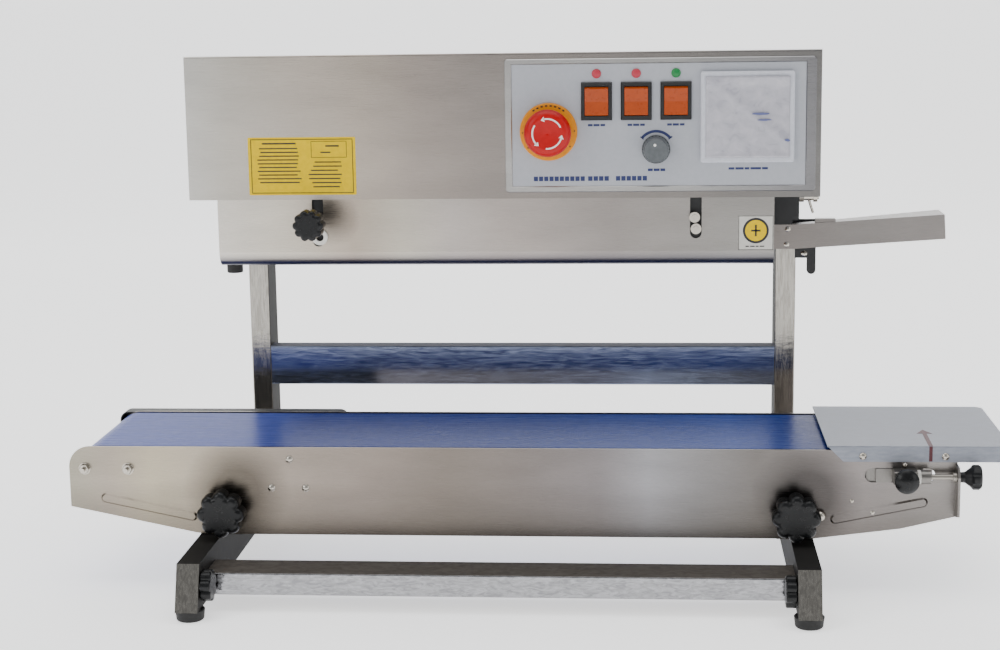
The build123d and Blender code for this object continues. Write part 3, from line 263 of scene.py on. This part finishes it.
def pvc_belt():
    """Blue PVC conveyor belting: a smooth calendered cover with a soft gloss and faint lengthwise rub
    marks. Its colour from left to right is painted light and shade: pale at the left, where it curves down
    over the roller to the light, and darker further along."""
    made, tree, shader = surface("blue_pvc_belt", "#2448a4", Specular_IOR_Level=0.04)
    rub = node(tree, "ShaderNodeTexNoise", [("Vector", in_mm(tree, [160, 5, 40]))], Detail=4.0)
    cover = node(tree, "ShaderNodeTexNoise", [("Vector", in_mm(tree, [2.2, 2.2, 2.2]))], Detail=1.0)
    # painted light and shade along the belt, from left to right
    colour = along_x(tree, [
        (-420, "#4c5ba6"), (-260, "#3f50a0"), (-215, "#0e2c80"), (0, "#143484"), (180, "#1a3f94"),
        (260, "#082468"),
    ])
    gloss = node(
        tree, "ShaderNodeMapRange", [("Value", rub.outputs["Fac"])], To_Min=0.22, To_Max=0.34, **FROM_NOISE
    )
    bump = node(tree, "ShaderNodeBump", [("Height", cover.outputs["Fac"])], Strength=0.04, Distance=0.3 * MM)
    tree.links.new(shaded(tree, colour, rub.outputs["Fac"], 0.9, 1.08), shader.inputs["Base Color"])
    tree.links.new(gloss.outputs["Result"], shader.inputs["Roughness"])
    tree.links.new(bump.outputs["Normal"], shader.inputs["Normal"])
    return made


def coated_cloth():
    """PTFE-coated glass cloth: brown and smooth, with the weave of its 1.2 mm threads printing through."""
    made, tree, shader = surface("ptfe_glass_cloth", "#7a4e28", Coat_Weight=0.2, Roughness=0.42)
    weave = node(tree, "ShaderNodeTexChecker", [("Vector", in_mm(tree, [1.2, 1.2, 1.2]))], Scale=1.0)
    tint = node(
        tree, "ShaderNodeValToRGB", [("Fac", weave.outputs["Fac"])], [(0.0, "#6b4320"), (1.0, "#87582f")]
    )
    bump = node(tree, "ShaderNodeBump", [("Height", weave.outputs["Fac"])], Strength=0.15, Distance=0.2 * MM)
    tree.links.new(tint.outputs["Color"], shader.inputs["Base Color"])
    tree.links.new(bump.outputs["Normal"], shader.inputs["Normal"])
    return made


def satin_sheet():
    """Smooth satin infeed sheet: pale blue-grey with soft cloudy reflections, as rolled and not brushed."""
    made, tree, shader = surface("satin_sheet", "#8d919b", Metallic=0.15, Specular_IOR_Level=0.1)
    cloud = node(tree, "ShaderNodeTexNoise", [("Vector", in_mm(tree, [55, 40, 18]))], Detail=3.0)
    tint = node(
        tree, "ShaderNodeValToRGB", [("Fac", cloud.outputs["Fac"])],
        [(NOISE_LOW, "#858993"), (NOISE_HIGH, "#989ca6")],
    )
    gloss = node(
        tree, "ShaderNodeMapRange", [("Value", cloud.outputs["Fac"])], To_Min=0.28, To_Max=0.42, **FROM_NOISE
    )
    tree.links.new(tint.outputs["Color"], shader.inputs["Base Color"])
    tree.links.new(gloss.outputs["Result"], shader.inputs["Roughness"])
    return made


def screw_and_knob(edge):
    """The tension screw in one node: a bright steel thread up to edge and its black moulded knob beyond."""
    made, tree, shader = surface("steel_screw_black_knob", "#101113", Specular_IOR_Level=0.3, Roughness=0.32)
    place = node(tree, "ShaderNodeTexCoord")
    split = node(tree, "ShaderNodeSeparateXYZ", [("Vector", place.outputs["Object"])])
    steel = node(tree, "ShaderNodeMath", [(0, split.outputs["X"]), (1, edge)], operation="LESS_THAN")
    tint = node(
        tree, "ShaderNodeValToRGB", [("Fac", steel.outputs[0])], [(0.0, "#101113"), (1.0, "#9d9890")]
    )
    thread = node(tree, "ShaderNodeTexNoise", [("Vector", in_mm(tree, [0.8, 8, 8]))], Detail=1.0)
    bump = node(tree, "ShaderNodeBump", [("Height", thread.outputs["Fac"])], Strength=0.3, Distance=0.3 * MM)
    tree.links.new(steel.outputs[0], shader.inputs["Metallic"])
    tree.links.new(tint.outputs["Color"], shader.inputs["Base Color"])
    tree.links.new(bump.outputs["Normal"], shader.inputs["Normal"])
    return made


def two_lamp_colours():
    """Tinted acrylic lenses: pink-red over the first two switches and green over the third."""
    made, tree, shader = surface("acrylic_lens", "#c4596a", Roughness=0.3, Specular_IOR_Level=0.3)
    place = node(tree, "ShaderNodeTexCoord")
    split = node(tree, "ShaderNodeSeparateXYZ", [("Vector", place.outputs["Object"])])
    boundary = (middle("heater_rocker").x + middle("conveyor_rocker").x) / 2
    beyond = node(
        tree, "ShaderNodeMath", [(0, split.outputs["X"]), (1, boundary)], operation="GREATER_THAN"
    )
    tint = node(
        tree, "ShaderNodeValToRGB", [("Fac", beyond.outputs[0])], [(0.0, "#b23a48"), (1.0, "#1f7d42")]
    )
    tree.links.new(tint.outputs["Color"], shader.inputs["Base Color"])
    return made


def ink(name, colour):
    """Screen-printing ink: matt, with a slight unevenness in the lay-down."""
    made, tree, shader = surface(name, colour)
    lay = node(tree, "ShaderNodeTexNoise", [("Vector", in_mm(tree, [3, 3, 3]))], Detail=2.0)
    sheen = node(
        tree, "ShaderNodeMapRange", [("Value", lay.outputs["Fac"])], To_Min=0.42, To_Max=0.58, **FROM_NOISE
    )
    tree.links.new(sheen.outputs["Result"], shader.inputs["Roughness"])
    return made


def peelable_film():
    """Milky polyethylene film left on the controller: cloudy, pale violet-grey and glossy in patches."""
    made, tree, shader = surface("milky_pe_film", "#bcbac0", Coat_Weight=0.6, Coat_Roughness=0.15)
    haze = node(
        tree, "ShaderNodeTexNoise", [("Vector", in_mm(tree, [45, 45, 36]))], Detail=2.0, Distortion=0.6
    )
    tint = node(
        tree, "ShaderNodeValToRGB", [("Fac", haze.outputs["Fac"])],
        [(NOISE_LOW, "#a2a1ab"), (NOISE_HIGH, "#b7b5bd")],
    )
    gloss = node(
        tree, "ShaderNodeMapRange", [("Value", haze.outputs["Fac"])], To_Min=0.25, To_Max=0.45, **FROM_NOISE
    )
    tree.links.new(tint.outputs["Color"], shader.inputs["Base Color"])
    tree.links.new(gloss.outputs["Result"], shader.inputs["Roughness"])
    return made


# rubbed sheets: each one's bands of grey, from left to right in millimetres, are painted reflections of
# what it faces in the room
HEAD_SHEET = rubbed_stainless("rubbed_304_head", [
    (-298, "#cfccc6"), (-262, "#c5bfb5"), (-207, "#c1b7ac"), (-146, "#b6ab9f"), (-95, "#a49a92"),
    (-43, "#978f89"), (244, "#7c7a78"),
], 200, 380)
# painted reflections: a bluish foot where the guard mirrors the belt, and a dark patch right of its knob
GUARD_SHEET = rubbed_stainless("rubbed_304_guard", [
    (-275, "#d6d0c7"), (-225, "#cfc7b9"), (-155, "#b1a496"), (-112, "#bbb4a7"), (-68, "#b5ada7"),
    (-25, "#aaa19b"), (78, "#938d89"), (168, "#93908c"),
], 295, 309, [
    ((high("guard_knob").x, head_face, middle("guard_knob").z), 26 * MM, 0.5),
], "#2c3048")
FRAME_SHEET = rubbed_stainless("rubbed_304_frame", [
    (-20, "#b0aeac"), (120, "#aaa9a7"), (250, "#858486"),
], 150, 380)
# painted reflections, with a soft dark patch above each clamp knob
CONVEYOR_SHEET = rubbed_stainless("rubbed_304_conveyor", [
    (-420, "#9c9789"), (-385, "#a0968a"), (-345, "#afa591"), (-300, "#a49a8b"), (-245, "#958b80"),
    (-165, "#8a8078"), (-75, "#787069"), (-12, "#77706c"), (60, "#797474"), (105, "#8d8c8f"),
    (150, "#7c7a7a"), (200, "#6d6966"), (280, "#837d7b"), (350, "#85817e"),
], 20, 100, [
    ((middle(knob).x + 11 * MM, head_face, middle(knob).z + 16 * MM), 50 * MM, 0.4)
    for knob in ("left_clamp_knob", "right_clamp_knob")
])
GUIDE_SHEET = rubbed_stainless("rubbed_304_guide", [
    (215, "#7c7672"), (290, "#7f7b78"), (370, "#888380"),
], 200, 300)

# polished tubes: each has the painted reflection colours of its front and of its sides; the streaks run up
# the posts and along the cross bars, the way the buffing wheel went
POLISHED = polished_tube("polished_304_tube", "#a09c95", "#2c2b2a", 0.05, (12, 12, 120))
FILMED = polished_tube("polished_304_under_film", "#a0a0a3", "#5f5a55", 0.3, (55, 30, 16))
REAR_BAR = polished_tube("polished_304_rear_bar", "#98a1b8", "#5a5c66", 0.015, (150, 20, 14))

# pressed phenolic leaves the steel mould hard and glossy, glass-filled nylon comes out a little duller
BLACK_KNOB = moulded_plastic(
    "black_phenolic", "#101113", "#0b0c0d", 0.3, grit=3.0, depth=0.03, Specular_IOR_Level=0.3
)
BLACK_PLASTIC = moulded_plastic("black_nylon", "#111214", "#0c0d0e", 0.38, grit=0.8)
NYLON = moulded_plastic("white_nylon", "#e2dfd8", "#d2cfc8", 0.34)

# switch and button mouldings: solid strong colour right through, smooth from a polished tool
ORANGE = moulded_plastic(
    "orange_polycarbonate", "#a84000", "#9c3a00", 0.3, depth=0.02, Specular_IOR_Level=0.3
)
RED = moulded_plastic("red_abs", "#b40004", "#a80002", 0.34, depth=0.02, Specular_IOR_Level=0.3)
YELLOW = moulded_plastic("yellow_abs", "#dc8c00", "#d08000", 0.36, depth=0.02, Specular_IOR_Level=0.3)
GREY_KNOB = moulded_plastic("grey_abs", "#5f6366", "#54585b", 0.38, Specular_IOR_Level=0.3)
WHITE_BEZEL = moulded_plastic("white_abs", "#c9cbd4", "#bfc1cb", 0.34)

# printed films: the panel overlay has a velvet face, the vinyl labels a smooth one
PANEL = moulded_plastic("polycarbonate_overlay", "#a9abb2", "#a4a7ae", 0.36, grit=1.6, depth=0.03)
LABEL_YELLOW = moulded_plastic(
    "yellow_vinyl", "#e2c000", "#d8b600", 0.5, depth=0.02, Specular_IOR_Level=0.05
)
LABEL_WHITE = moulded_plastic("white_vinyl", "#c9c6c0", "#c0bdb6", 0.4, depth=0.02)
BLUE_INK = ink("blue_ink", "#1f2a5c")
PALE_INK = ink("pale_blue_ink", "#59608e")
BLACK_INK = ink("black_ink", "#1d1c1b")
# the white ink prints the stop arrows and also paints the highlight dot on the speed knob
WHITE_INK_AND_HIGHLIGHT = ink("white_ink_and_highlight", "#e8e6e2")
RED_INK = ink("red_ink", "#4e101c")
FILM = peelable_film()
LENS = two_lamp_colours()

# rubber is matt from its fillers, and powder coat and motor enamel level out with a slight orange peel
RUBBER = moulded_plastic("black_natural_rubber", "#121111", "#0b0b0b", 0.62, grit=1.5, depth=0.1)
# the same black also paints the shade behind the guard's slots
BLACK_COAT_AND_SHADE = moulded_plastic("black_powder_coat_and_painted_shade", "#111113", "#0b0b0d", 0.48, grit=0.9, depth=0.12)
ENAMEL = moulded_plastic("grey_motor_enamel", "#3c4145", "#33383c", 0.4)

# turned and milled metals: nickel is the brightest and bronze warm and dull; the milled slider steel is
# painted darker, as shade in the slot that it runs in
NICKEL = turned_metal("nickel_plate", "#cfc9bf", "#a9a297", 0.22)
STEEL = turned_metal("turned_steel", "#b9b8b6", "#8e8d8b", 0.3)
# painted shade: a darker copy of the steel, for the shade in the slider's slot
SHADED_SLIDER_STEEL = turned_metal("slider_steel_painted_shade", "#8f8c88", "#6e6b68", 0.36)
ALUMINIUM = turned_metal("machined_aluminium", "#cdd0d3", "#b0b3b6", 0.34)
BRONZE = turned_metal("sintered_bronze", "#b18a55", "#8d6a3c", 0.42)
BELT = pvc_belt()
CLOTH = coated_cloth()
INFEED_SHEET = satin_sheet()

FINISHES = {
    "polished_stainless": POLISHED,
    "brushed_stainless": HEAD_SHEET,
    "galvanised_sheet": INFEED_SHEET,
    "blue_belt": BELT,
    "black_plastic": BLACK_KNOB,
    "orange_plastic": ORANGE,
    "red_plastic": RED,
    "yellow_plastic": YELLOW,
    "grey_plastic": GREY_KNOB,
    "panel_print": PANEL,
    "controller_plastic": WHITE_BEZEL,
    "lamp_lens": LENS,
    "nickel": NICKEL,
    "turned_steel": STEEL,
    "aluminium": ALUMINIUM,
    "bronze": BRONZE,
    "sealing_band": CLOTH,
    "rubber": RUBBER,
    "black_steel": BLACK_COAT_AND_SHADE,
    "motor_enamel": ENAMEL,
}
# parts that share a slot with others but have a sheet, a tube or a casting of their own
OWN_FINISHES = {
    "belt_guard": GUARD_SHEET,
    "bag_guide": GUIDE_SHEET,
    "panel_frame": FRAME_SHEET,
    "front_side_plate": CONVEYOR_SHEET,
    "rear_side_plate": CONVEYOR_SHEET,
    "front_cross_bar": FILMED,
    "rear_cross_bar": REAR_BAR,
    "drive_cover": BLACK_COAT_AND_SHADE,
    "switch_housings": BLACK_PLASTIC,
    "roller_bearings": BLACK_PLASTIC,
    "tension_sliders": SHADED_SLIDER_STEEL,
    "tension_screw": screw_and_knob(high("front_side_plate").x + 0.5 * MM),
}
for part in frame["record"]["subparts"]:
    shown = frame["nodes"][part["node"]]
    shown.data.materials.clear()
    shown.data.materials.append(OWN_FINISHES.get(part["node"], FINISHES[part["material_slot"]]))


# ---------------------------------------------------------------- how a piece is made
INK_DEPTH = 0.12 * MM
FORWARD = (0, -1, 0)


def piece(name, mesh_maker, material, body):
    """A new piece from a bmesh that mesh_maker fills, with its finish and body."""
    shape = bmesh.new()
    mesh_maker(shape)
    bmesh.ops.recalc_face_normals(shape, faces=shape.faces)
    mesh = bpy.data.meshes.new(name)
    shape.to_mesh(mesh)
    shape.free()
    made = bpy.data.objects.new(name, mesh)
    bpy.context.scene.collection.objects.link(made)
    mesh.materials.append(material)
    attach(made, body)
    return made


def slab(shape, outline, thickness, direction):
    """A closed plate: the outline (a list of points) pushed by its thickness along direction."""
    rise = Vector(direction) * thickness
    lower = [shape.verts.new(p) for p in outline]
    upper = [shape.verts.new(Vector(p) + rise) for p in outline]
    shape.faces.new(lower)
    shape.faces.new(list(reversed(upper)))
    for i in range(len(outline)):
        j = (i + 1) % len(outline)
        shape.faces.new((lower[j], lower[i], upper[i], upper[j]))


def printed(name, outlines, material, body="machine", depth=INK_DEPTH):
    """Raised print on a face that looks forward: each outline becomes a thin closed plate."""

    def fill(shape):
        for outline in outlines:
            slab(shape, outline, depth, FORWARD)

    return piece(name, fill, material, body)


def front_rect(x, z, width, height, y, corner=0.01 * MM, steps=1):
    """Outline of a rectangle that faces the front, centred on (x, z), its corners eased or rounded."""
    points = []
    for cx, cz, start in (
        (width / 2 - corner, height / 2 - corner, 0), (-width / 2 + corner, height / 2 - corner, 90),
        (-width / 2 + corner, -height / 2 + corner, 180), (width / 2 - corner, -height / 2 + corner, 270),
    ):
        for i in range(steps + 1):
            a = math.radians(start + 90 * i / steps)
            points.append((x + cx + corner * math.cos(a), y, z + cz + corner * math.sin(a)))
    return points


def ring_arc(x, z, inner, outer, start, end, y, steps=20):
    """Outline of part of a flat ring that faces the front; angles in degrees from +X towards +Z."""
    turn = [math.radians(start + (end - start) * i / steps) for i in range(steps + 1)]
    rim = [(x + outer * math.cos(a), y, z + outer * math.sin(a)) for a in turn]
    return rim + [(x + inner * math.cos(a), y, z + inner * math.sin(a)) for a in reversed(turn)]


def disc(x, z, radius, y, steps=20):
    """Outline of a round dot: a ring with a pinhole and a hair-wide slit, so that it is one outline."""
    return ring_arc(x, z, 0.1 * MM, radius, 0, 359.9, y, steps)


def strokes(rects, x, z, y):
    """Outlines of printed strokes: (along, up, width, height) in millimetres from the place (x, z)."""
    return [front_rect(x + a * MM, z + b * MM, w * MM, h * MM, y) for a, b, w, h in rects]


def dashes(left, up, widths, gap, height):
    """A row of dashes that stands for a word or a line of words, as strokes in millimetres."""
    row, x = [], left
    for width in widths:
        row.append((x + width / 2, up, width, height))
        x += width + gap
    return row


# ---------------------------------------------------------------- operating label on the head
# yellow vinyl with a dark border, a column of dashes, and a small box over a second column
label_x = low("head_cover").x + 101.5 * MM
label_z = low("head_cover").z + 29.5 * MM
vinyl = front_rect(label_x, label_z, 95 * MM, 50.5 * MM, head_face, 1 * MM, 5)
printed("operating_label", [vinyl], LABEL_YELLOW)
# in millimetres from the label's middle: border, first column, box and its two strokes, second column
words = [(0, 23.4, 90, 0.7), (0, -23.4, 90, 0.7), (-44.8, 0, 0.7, 46), (44.8, 0, 0.7, 46)]
words += [(-20 + rng.uniform(-1.5, 1), 15.5 - 3.3 * i, 38 + rng.uniform(-5, 1), 1.1) for i in range(10)]
words += [(-20, 19.8, 30, 1.4), (24, 21.6, 31, 0.5), (24, 7.6, 31, 0.5)]
words += [(8.5, 14.6, 0.5, 14), (39.5, 14.6, 0.5, 14), (27, 17.5, 12, 1.4), (21, 12, 9, 1.2)]
words += [(21 + rng.uniform(-2, 2), 3.5 - 3.6 * i, 29 + rng.uniform(-6, 2), 1.1) for i in range(7)]
word_plates = strokes(words, label_x, label_z, head_face - INK_DEPTH)
printed("label_dashes", word_plates, BLACK_INK, depth=INK_DEPTH / 2)

# ---------------------------------------------------------------- control panel
# one long row of dashes in three groups for the title, and a short row under each control
panel = low("control_panel")
title = dashes(18.3, 6.4, [3.6] * 10, 0.9, 4.0)
title += dashes(65.3, 6.4, [3.8] * 4, 0.9, 4.0)
title += dashes(89.3, 6.4, [3.7] * 6, 0.9, 4.0)
captions = strokes(title, panel.x, panel.z, panel_face)
for rocker in ("power_rocker", "heater_rocker", "conveyor_rocker"):
    under = low("switch_housings").z - 4.15 * MM
    captions += strokes(dashes(-7.5, 0, [4.0, 5.2, 4.0], 0.8, 1.9), middle(rocker).x, under, panel_face)
knob = middle("speed_knob")
captions += strokes(dashes(-7, -17.8, [4.2, 5.0, 4.0], 0.8, 2.2), knob.x, knob.z, panel_face)
bezel = low("temperature_controller")
captions += strokes(dashes(24, -5.5, [5, 7, 4, 9, 5], 0.9, 1.9), bezel.x, bezel.z, panel_face)
printed("panel_dashes", captions, BLUE_INK)

# speed scale: an arc over the knob with a tick at each end; a white dot on the knob is a painted highlight
scale = [ring_arc(knob.x, knob.z, 14.2 * MM, 16.6 * MM, 38, 142, panel_face)]
scale += [ring_arc(knob.x, knob.z, 13.6 * MM, 17.6 * MM, 36, 40, panel_face)]
scale += [ring_arc(knob.x, knob.z, 13.6 * MM, 17.2 * MM, 140, 143, panel_face)]
printed("speed_scale", scale, BLUE_INK)
# painted highlight: a white dot on the knob's face
highlight_dot = disc(knob.x - 1 * MM, knob.z + 4.5 * MM, 1.2 * MM, low("speed_knob").y)
printed("knob_dot", [highlight_dot], WHITE_INK_AND_HIGHLIGHT, "speed_control")

# emergency stop: three bent arrows printed thick on the button's crown, dark ticks round its collar
stop = middle("estop_button")
stop_crown = low("estop_button").y + 1.2 * MM
arrows = []
for turn in (25, 145, 265):
    arrows.append(ring_arc(stop.x, stop.z, 12.0 * MM, 13.3 * MM, turn, turn + 78, stop_crown))
    barb, tip = math.radians(turn + 76), math.radians(turn + 90)
    arrows.append([
        (stop.x + radius * MM * math.cos(a), stop_crown, stop.z + radius * MM * math.sin(a))
        for radius, a in ((10.4, barb), (14.9, barb), (12.6, tip))
    ])
printed("turn_arrows", arrows, WHITE_INK_AND_HIGHLIGHT, "estop", 1.4 * MM)
collar_face = low("estop_collar").y
ticks = [
    ring_arc(stop.x, stop.z, 21.7 * MM, 23.0 * MM, a, a + 5, collar_face, 3) for a in range(52, 123, 10)
]
ticks += [
    ring_arc(stop.x, stop.z, 21.9 * MM, 22.9 * MM, a, a + 3, collar_face, 2) for a in (0, 180, 216, 324)
]
printed("collar_ticks", ticks, BLACK_INK)

# ---------------------------------------------------------------- guard label
# white vinyl with a yellow disc in a dark ring, a plain cross on it, and a row of dashes
sticker_x = high("belt_guard").x - 15.7 * MM
sticker_z = low("belt_guard").z + 28.5 * MM
sticker = front_rect(sticker_x, sticker_z, 30.2 * MM, 30.2 * MM, guard_face, 0.8 * MM, 5)
printed("guard_label", [sticker], LABEL_WHITE, body="belt_guard")
sticker_face = guard_face - INK_DEPTH
disc_z = sticker_z + 2 * MM
marks = [(0, 14.7, 30.2, 0.5), (0, -14.7, 30.2, 0.5), (-14.7, 0, 0.5, 29), (14.7, 0, 0.5, 29)]
marks += dashes(-8.8, -11.7, [3, 4, 2.5, 4], 0.9, 1.0)
sticker_print = strokes(marks, sticker_x, sticker_z, sticker_face)
sticker_print.append(ring_arc(sticker_x, disc_z, 9.2 * MM, 11.2 * MM, 0, 359.9, sticker_face, 40))
cross = [(0, 0, 1.6, 10), (0, 0, 8, 1.6)]
sticker_print += strokes(cross, sticker_x, disc_z, sticker_face - INK_DEPTH)
printed("guard_label_marks", sticker_print, BLACK_INK, body="belt_guard", depth=INK_DEPTH / 2)
yellow_disc = disc(sticker_x, disc_z, 9.2 * MM, sticker_face, 40)
printed("guard_label_disc", [yellow_disc], LABEL_YELLOW, body="belt_guard")

# ---------------------------------------------------------------- protective film on the controller
FILM_INSET = 4.2 * MM
FILM_CELLS = 44


def crinkled(shape):
    """A thin closed sheet over the bezel, pushed into shallow random folds."""
    left, right = bezel.x + FILM_INSET, high("temperature_controller").x - FILM_INSET
    foot, top = bezel.z + FILM_INSET, high("temperature_controller").z - FILM_INSET
    folds = [(rng.uniform(0, 3.1), rng.uniform(40, 100), rng.uniform(0, 6)) for _ in range(6)]
    steps, row = range(FILM_CELLS + 1), FILM_CELLS + 1
    front, back = [], []
    for j in steps:
        for i in steps:
            x, z = left + (right - left) * i / FILM_CELLS, foot + (top - foot) * j / FILM_CELLS
            ridge = sum(
                max(0.0, math.sin((x * math.cos(a) + z * math.sin(a)) * k + f)) ** 14 for a, k, f in folds
            )
            y = bezel.y - 0.3 * MM - 0.5 * MM * ridge
            front.append(shape.verts.new((x, y - 0.1 * MM, z)))
            back.append(shape.verts.new((x, y, z)))
    for j in range(FILM_CELLS):
        for i in range(FILM_CELLS):
            a = j * row + i
            shape.faces.new((front[a], front[a + 1], front[a + row + 1], front[a + row]))
            shape.faces.new((back[a], back[a + row], back[a + row + 1], back[a + 1]))
    rim = list(steps) + [j * row + FILM_CELLS for j in steps[1:]]
    rim += [FILM_CELLS * row + i for i in reversed(steps[:-1])]
    rim += [j * row for j in reversed(steps[1:-1])]
    for a, b in zip(rim, rim[1:] + rim[:1]):
        shape.faces.new((front[a], back[a], back[b], front[b]))


film = piece("protective_film", crinkled, FILM, "machine")
for polygon in film.data.polygons:
    polygon.use_smooth = True


def blot(x, z, wide, tall, points=14):
    """Outline of a small smudge with an uneven edge, in millimetres from the middle of the film."""
    centre = middle("temperature_controller")
    outline = []
    for i in range(points):
        a, reach = 2 * math.pi * i / points, rng.uniform(0.65, 1.0) * MM
        outline.append((
            centre.x + x * MM + wide * reach * math.cos(a), bezel.y - 1.6 * MM,
            centre.z + z * MM + tall * reach * math.sin(a),
        ))
    return outline


smudges = [blot(11.25, 2.75, 8.8, 1.3), blot(14.25, -2.55, 6.5, 1.0), blot(33.55, -19.75, 3.0, 1.4)]
printed("film_smudges", smudges, PALE_INK, depth=0.4 * MM)

# ---------------------------------------------------------------- feed arrow on the infeed plate
table = high("infeed_plate").z
flange = low("infeed_plate")
arrow_x = middle("infeed_plate").x + 10 * MM


def arrow(shape):
    """Dark-red tape: up the flange, then on across the table to a pointed head."""
    half = 1.5 * MM
    foot = flange.z + 0.5 * MM
    slab(shape, [
        (arrow_x - half, flange.y, foot), (arrow_x + half, flange.y, foot),
        (arrow_x + half, flange.y, table), (arrow_x - half, flange.y, table),
    ], INK_DEPTH, FORWARD)
    start = Vector((arrow_x, flange.y + 1 * MM, table))
    end = Vector((arrow_x + 1 * MM, flange.y + 48.4 * MM, table))
    along = (end - start).normalized()
    across = Vector((-along.y, along.x, 0)) * 1.9 * MM
    slab(shape, [start - across, start + across, end + across, end - across], INK_DEPTH, (0, 0, 1))
    slab(shape, [end - across * 3.6, end + across * 3.6, end + along * 15 * MM], INK_DEPTH, (0, 0, 1))


piece("feed_arrow", arrow, RED_INK, "conveyor")


# ---------------------------------------------------------------- nylon rings, slot shades and rubber tip
def bush(name, near_face, axis, inner, outer, length, material, body):
    """A short turned ring with a hole through it: the centre of its near face, and its axis."""

    def fill(shape):
        axis_v = Vector(axis)
        side = axis_v.orthogonal().normalized()
        other = axis_v.cross(side)
        chamfer = min(0.5 * MM, length / 4)
        profile = [
            (inner, 0), (outer - chamfer, 0), (outer, chamfer), (outer, length - chamfer),
            (outer - chamfer, length), (inner, length),
        ]
        count = 36
        loops = []
        for i in range(count):
            a = 2 * math.pi * i / count
            ray = side * math.cos(a) + other * math.sin(a)
            loops.append([shape.verts.new(Vector(near_face) + ray * r + axis_v * d) for r, d in profile])
        for i in range(count):
            here, there = loops[i], loops[(i + 1) % count]
            for k in range(len(profile)):
                m = (k + 1) % len(profile)
                shape.faces.new((here[k], here[m], there[m], there[k]))

    piece(name, fill, material, body)


on_stud = (guard_slot_x[0], guard_face - 0.2 * MM, low("belt_guard").z + 26.5 * MM)
bush("guard_ring", on_stud, FORWARD, 3.6 * MM, 7.2 * MM, 2.2 * MM, NYLON, "machine")
screw = middle("tension_screw")
on_screw = (low("tension_screw").x + 4.5 * MM, screw.y, screw.z)
bush("tension_washer", on_screw, (1, 0, 0), 2.7 * MM, 6.2 * MM, 3.5 * MM, NYLON, "conveyor")

# painted shade: black plates behind the guard's slots stand for the dark inside of the head
shade_foot, shade_top = low("belt_guard").z + 5 * MM, high("belt_guard").z - 0.5 * MM
for name, x in zip(("left_slot_shade", "right_slot_shade"), guard_slot_x):
    shade = front_rect(
        x, (shade_foot + shade_top) / 2, 22 * MM, shade_top - shade_foot, guard_face + 3.2 * MM
    )
    printed(name, [shade], BLACK_COAT_AND_SHADE, depth=0.6 * MM)

outlet_foot = low("head_fasteners") + Vector((12.9, 39, -0.5)) * MM
bush("outlet_tip", outlet_foot, (0, 0, 1), 6.1 * MM, 7.2 * MM, 7.8 * MM, RUBBER, "machine")

# ---------------------------------------------------------------- stage, light and camera
# a pale paper sweep: floor from in front of the camera, a wide bend, and a wall behind the machine
PAPER = surface(
    "pale_paper", "#ffffff", Roughness=0.95, Emission_Color=linear("#ffffff"), Emission_Strength=1.0
)[0]
floor_front, bend_start, bend, wall_top, half_width = -11.0, 2.2, 1.2, 5.0, 9.0
sweep = [(floor_front, 0.0), (bend_start, 0.0)]
for i in range(1, 13):
    a = math.pi / 2 * i / 12
    sweep.append((bend_start + bend * math.sin(a), bend - bend * math.cos(a)))
sweep.append((bend_start + bend, wall_top))
backdrop = bpy.data.meshes.new("backdrop")
backdrop.from_pydata(
    [(x, y, z) for y, z in sweep for x in (-half_width, half_width)], [],
    [(2 * i, 2 * i + 1, 2 * i + 3, 2 * i + 2) for i in range(len(sweep) - 1)],
)
backdrop.materials.append(PAPER)
for polygon in backdrop.polygons:
    polygon.use_smooth = True
stage = bpy.data.objects.new("backdrop", backdrop)
bpy.context.scene.collection.objects.link(stage)

world = bpy.data.worlds.new("studio")
world.use_nodes = True
world.node_tree.nodes["Background"].inputs["Color"].default_value = linear("#eef0f2")
world.node_tree.nodes["Background"].inputs["Strength"].default_value = 0.5
bpy.context.scene.world = world


def softbox(name, place, aim, width, height, power):
    """A white rectangular light at place, turned towards aim."""
    light = bpy.data.lights.new(name, "AREA")
    light.shape = "RECTANGLE"
    light.size, light.size_y = width, height
    light.energy = power
    lamp = bpy.data.objects.new(name, light)
    lamp.location = place
    lamp.rotation_euler = (Vector(aim) - Vector(place)).to_track_quat("-Z", "Y").to_euler()
    bpy.context.scene.collection.objects.link(lamp)


softbox("overhead", (0.0, -0.2, 2.6), (0, 0, 0.2), 2.6, 1.8, 32)
softbox("left_key", (-2.2, -1.8, 1.7), (-0.1, 0, 0.3), 1.4, 1.6, 24)
softbox("right_fill", (2.6, -1.2, 1.2), (0.1, 0, 0.3), 1.2, 1.6, 10)

CAMERA_PLACE = Vector((0.1083, -1.7241, 0.5367))
CAMERA_YAW, CAMERA_PITCH, CAMERA_ROLL = -0.0819, 0.1773, -0.0149
forward = Vector((
    math.sin(CAMERA_YAW) * math.cos(CAMERA_PITCH), math.cos(CAMERA_YAW) * math.cos(CAMERA_PITCH),
    -math.sin(CAMERA_PITCH),
))
level = Vector((math.cos(CAMERA_YAW), -math.sin(CAMERA_YAW), 0.0))
upward = level.cross(forward)
right = level * math.cos(CAMERA_ROLL) + upward * math.sin(CAMERA_ROLL)
up = upward * math.cos(CAMERA_ROLL) - level * math.sin(CAMERA_ROLL)
camera_data = bpy.data.cameras.new("camera")
camera_data.lens = 67.9
camera_data.sensor_width = 36.0
camera_data.clip_start = 0.05
camera = bpy.data.objects.new("camera", camera_data)
camera.matrix_world = Matrix((
    (right.x, up.x, -forward.x, CAMERA_PLACE.x),
    (right.y, up.y, -forward.y, CAMERA_PLACE.y),
    (right.z, up.z, -forward.z, CAMERA_PLACE.z),
    (0, 0, 0, 1),
))
bpy.context.scene.collection.objects.link(camera)
bpy.context.scene.camera = camera
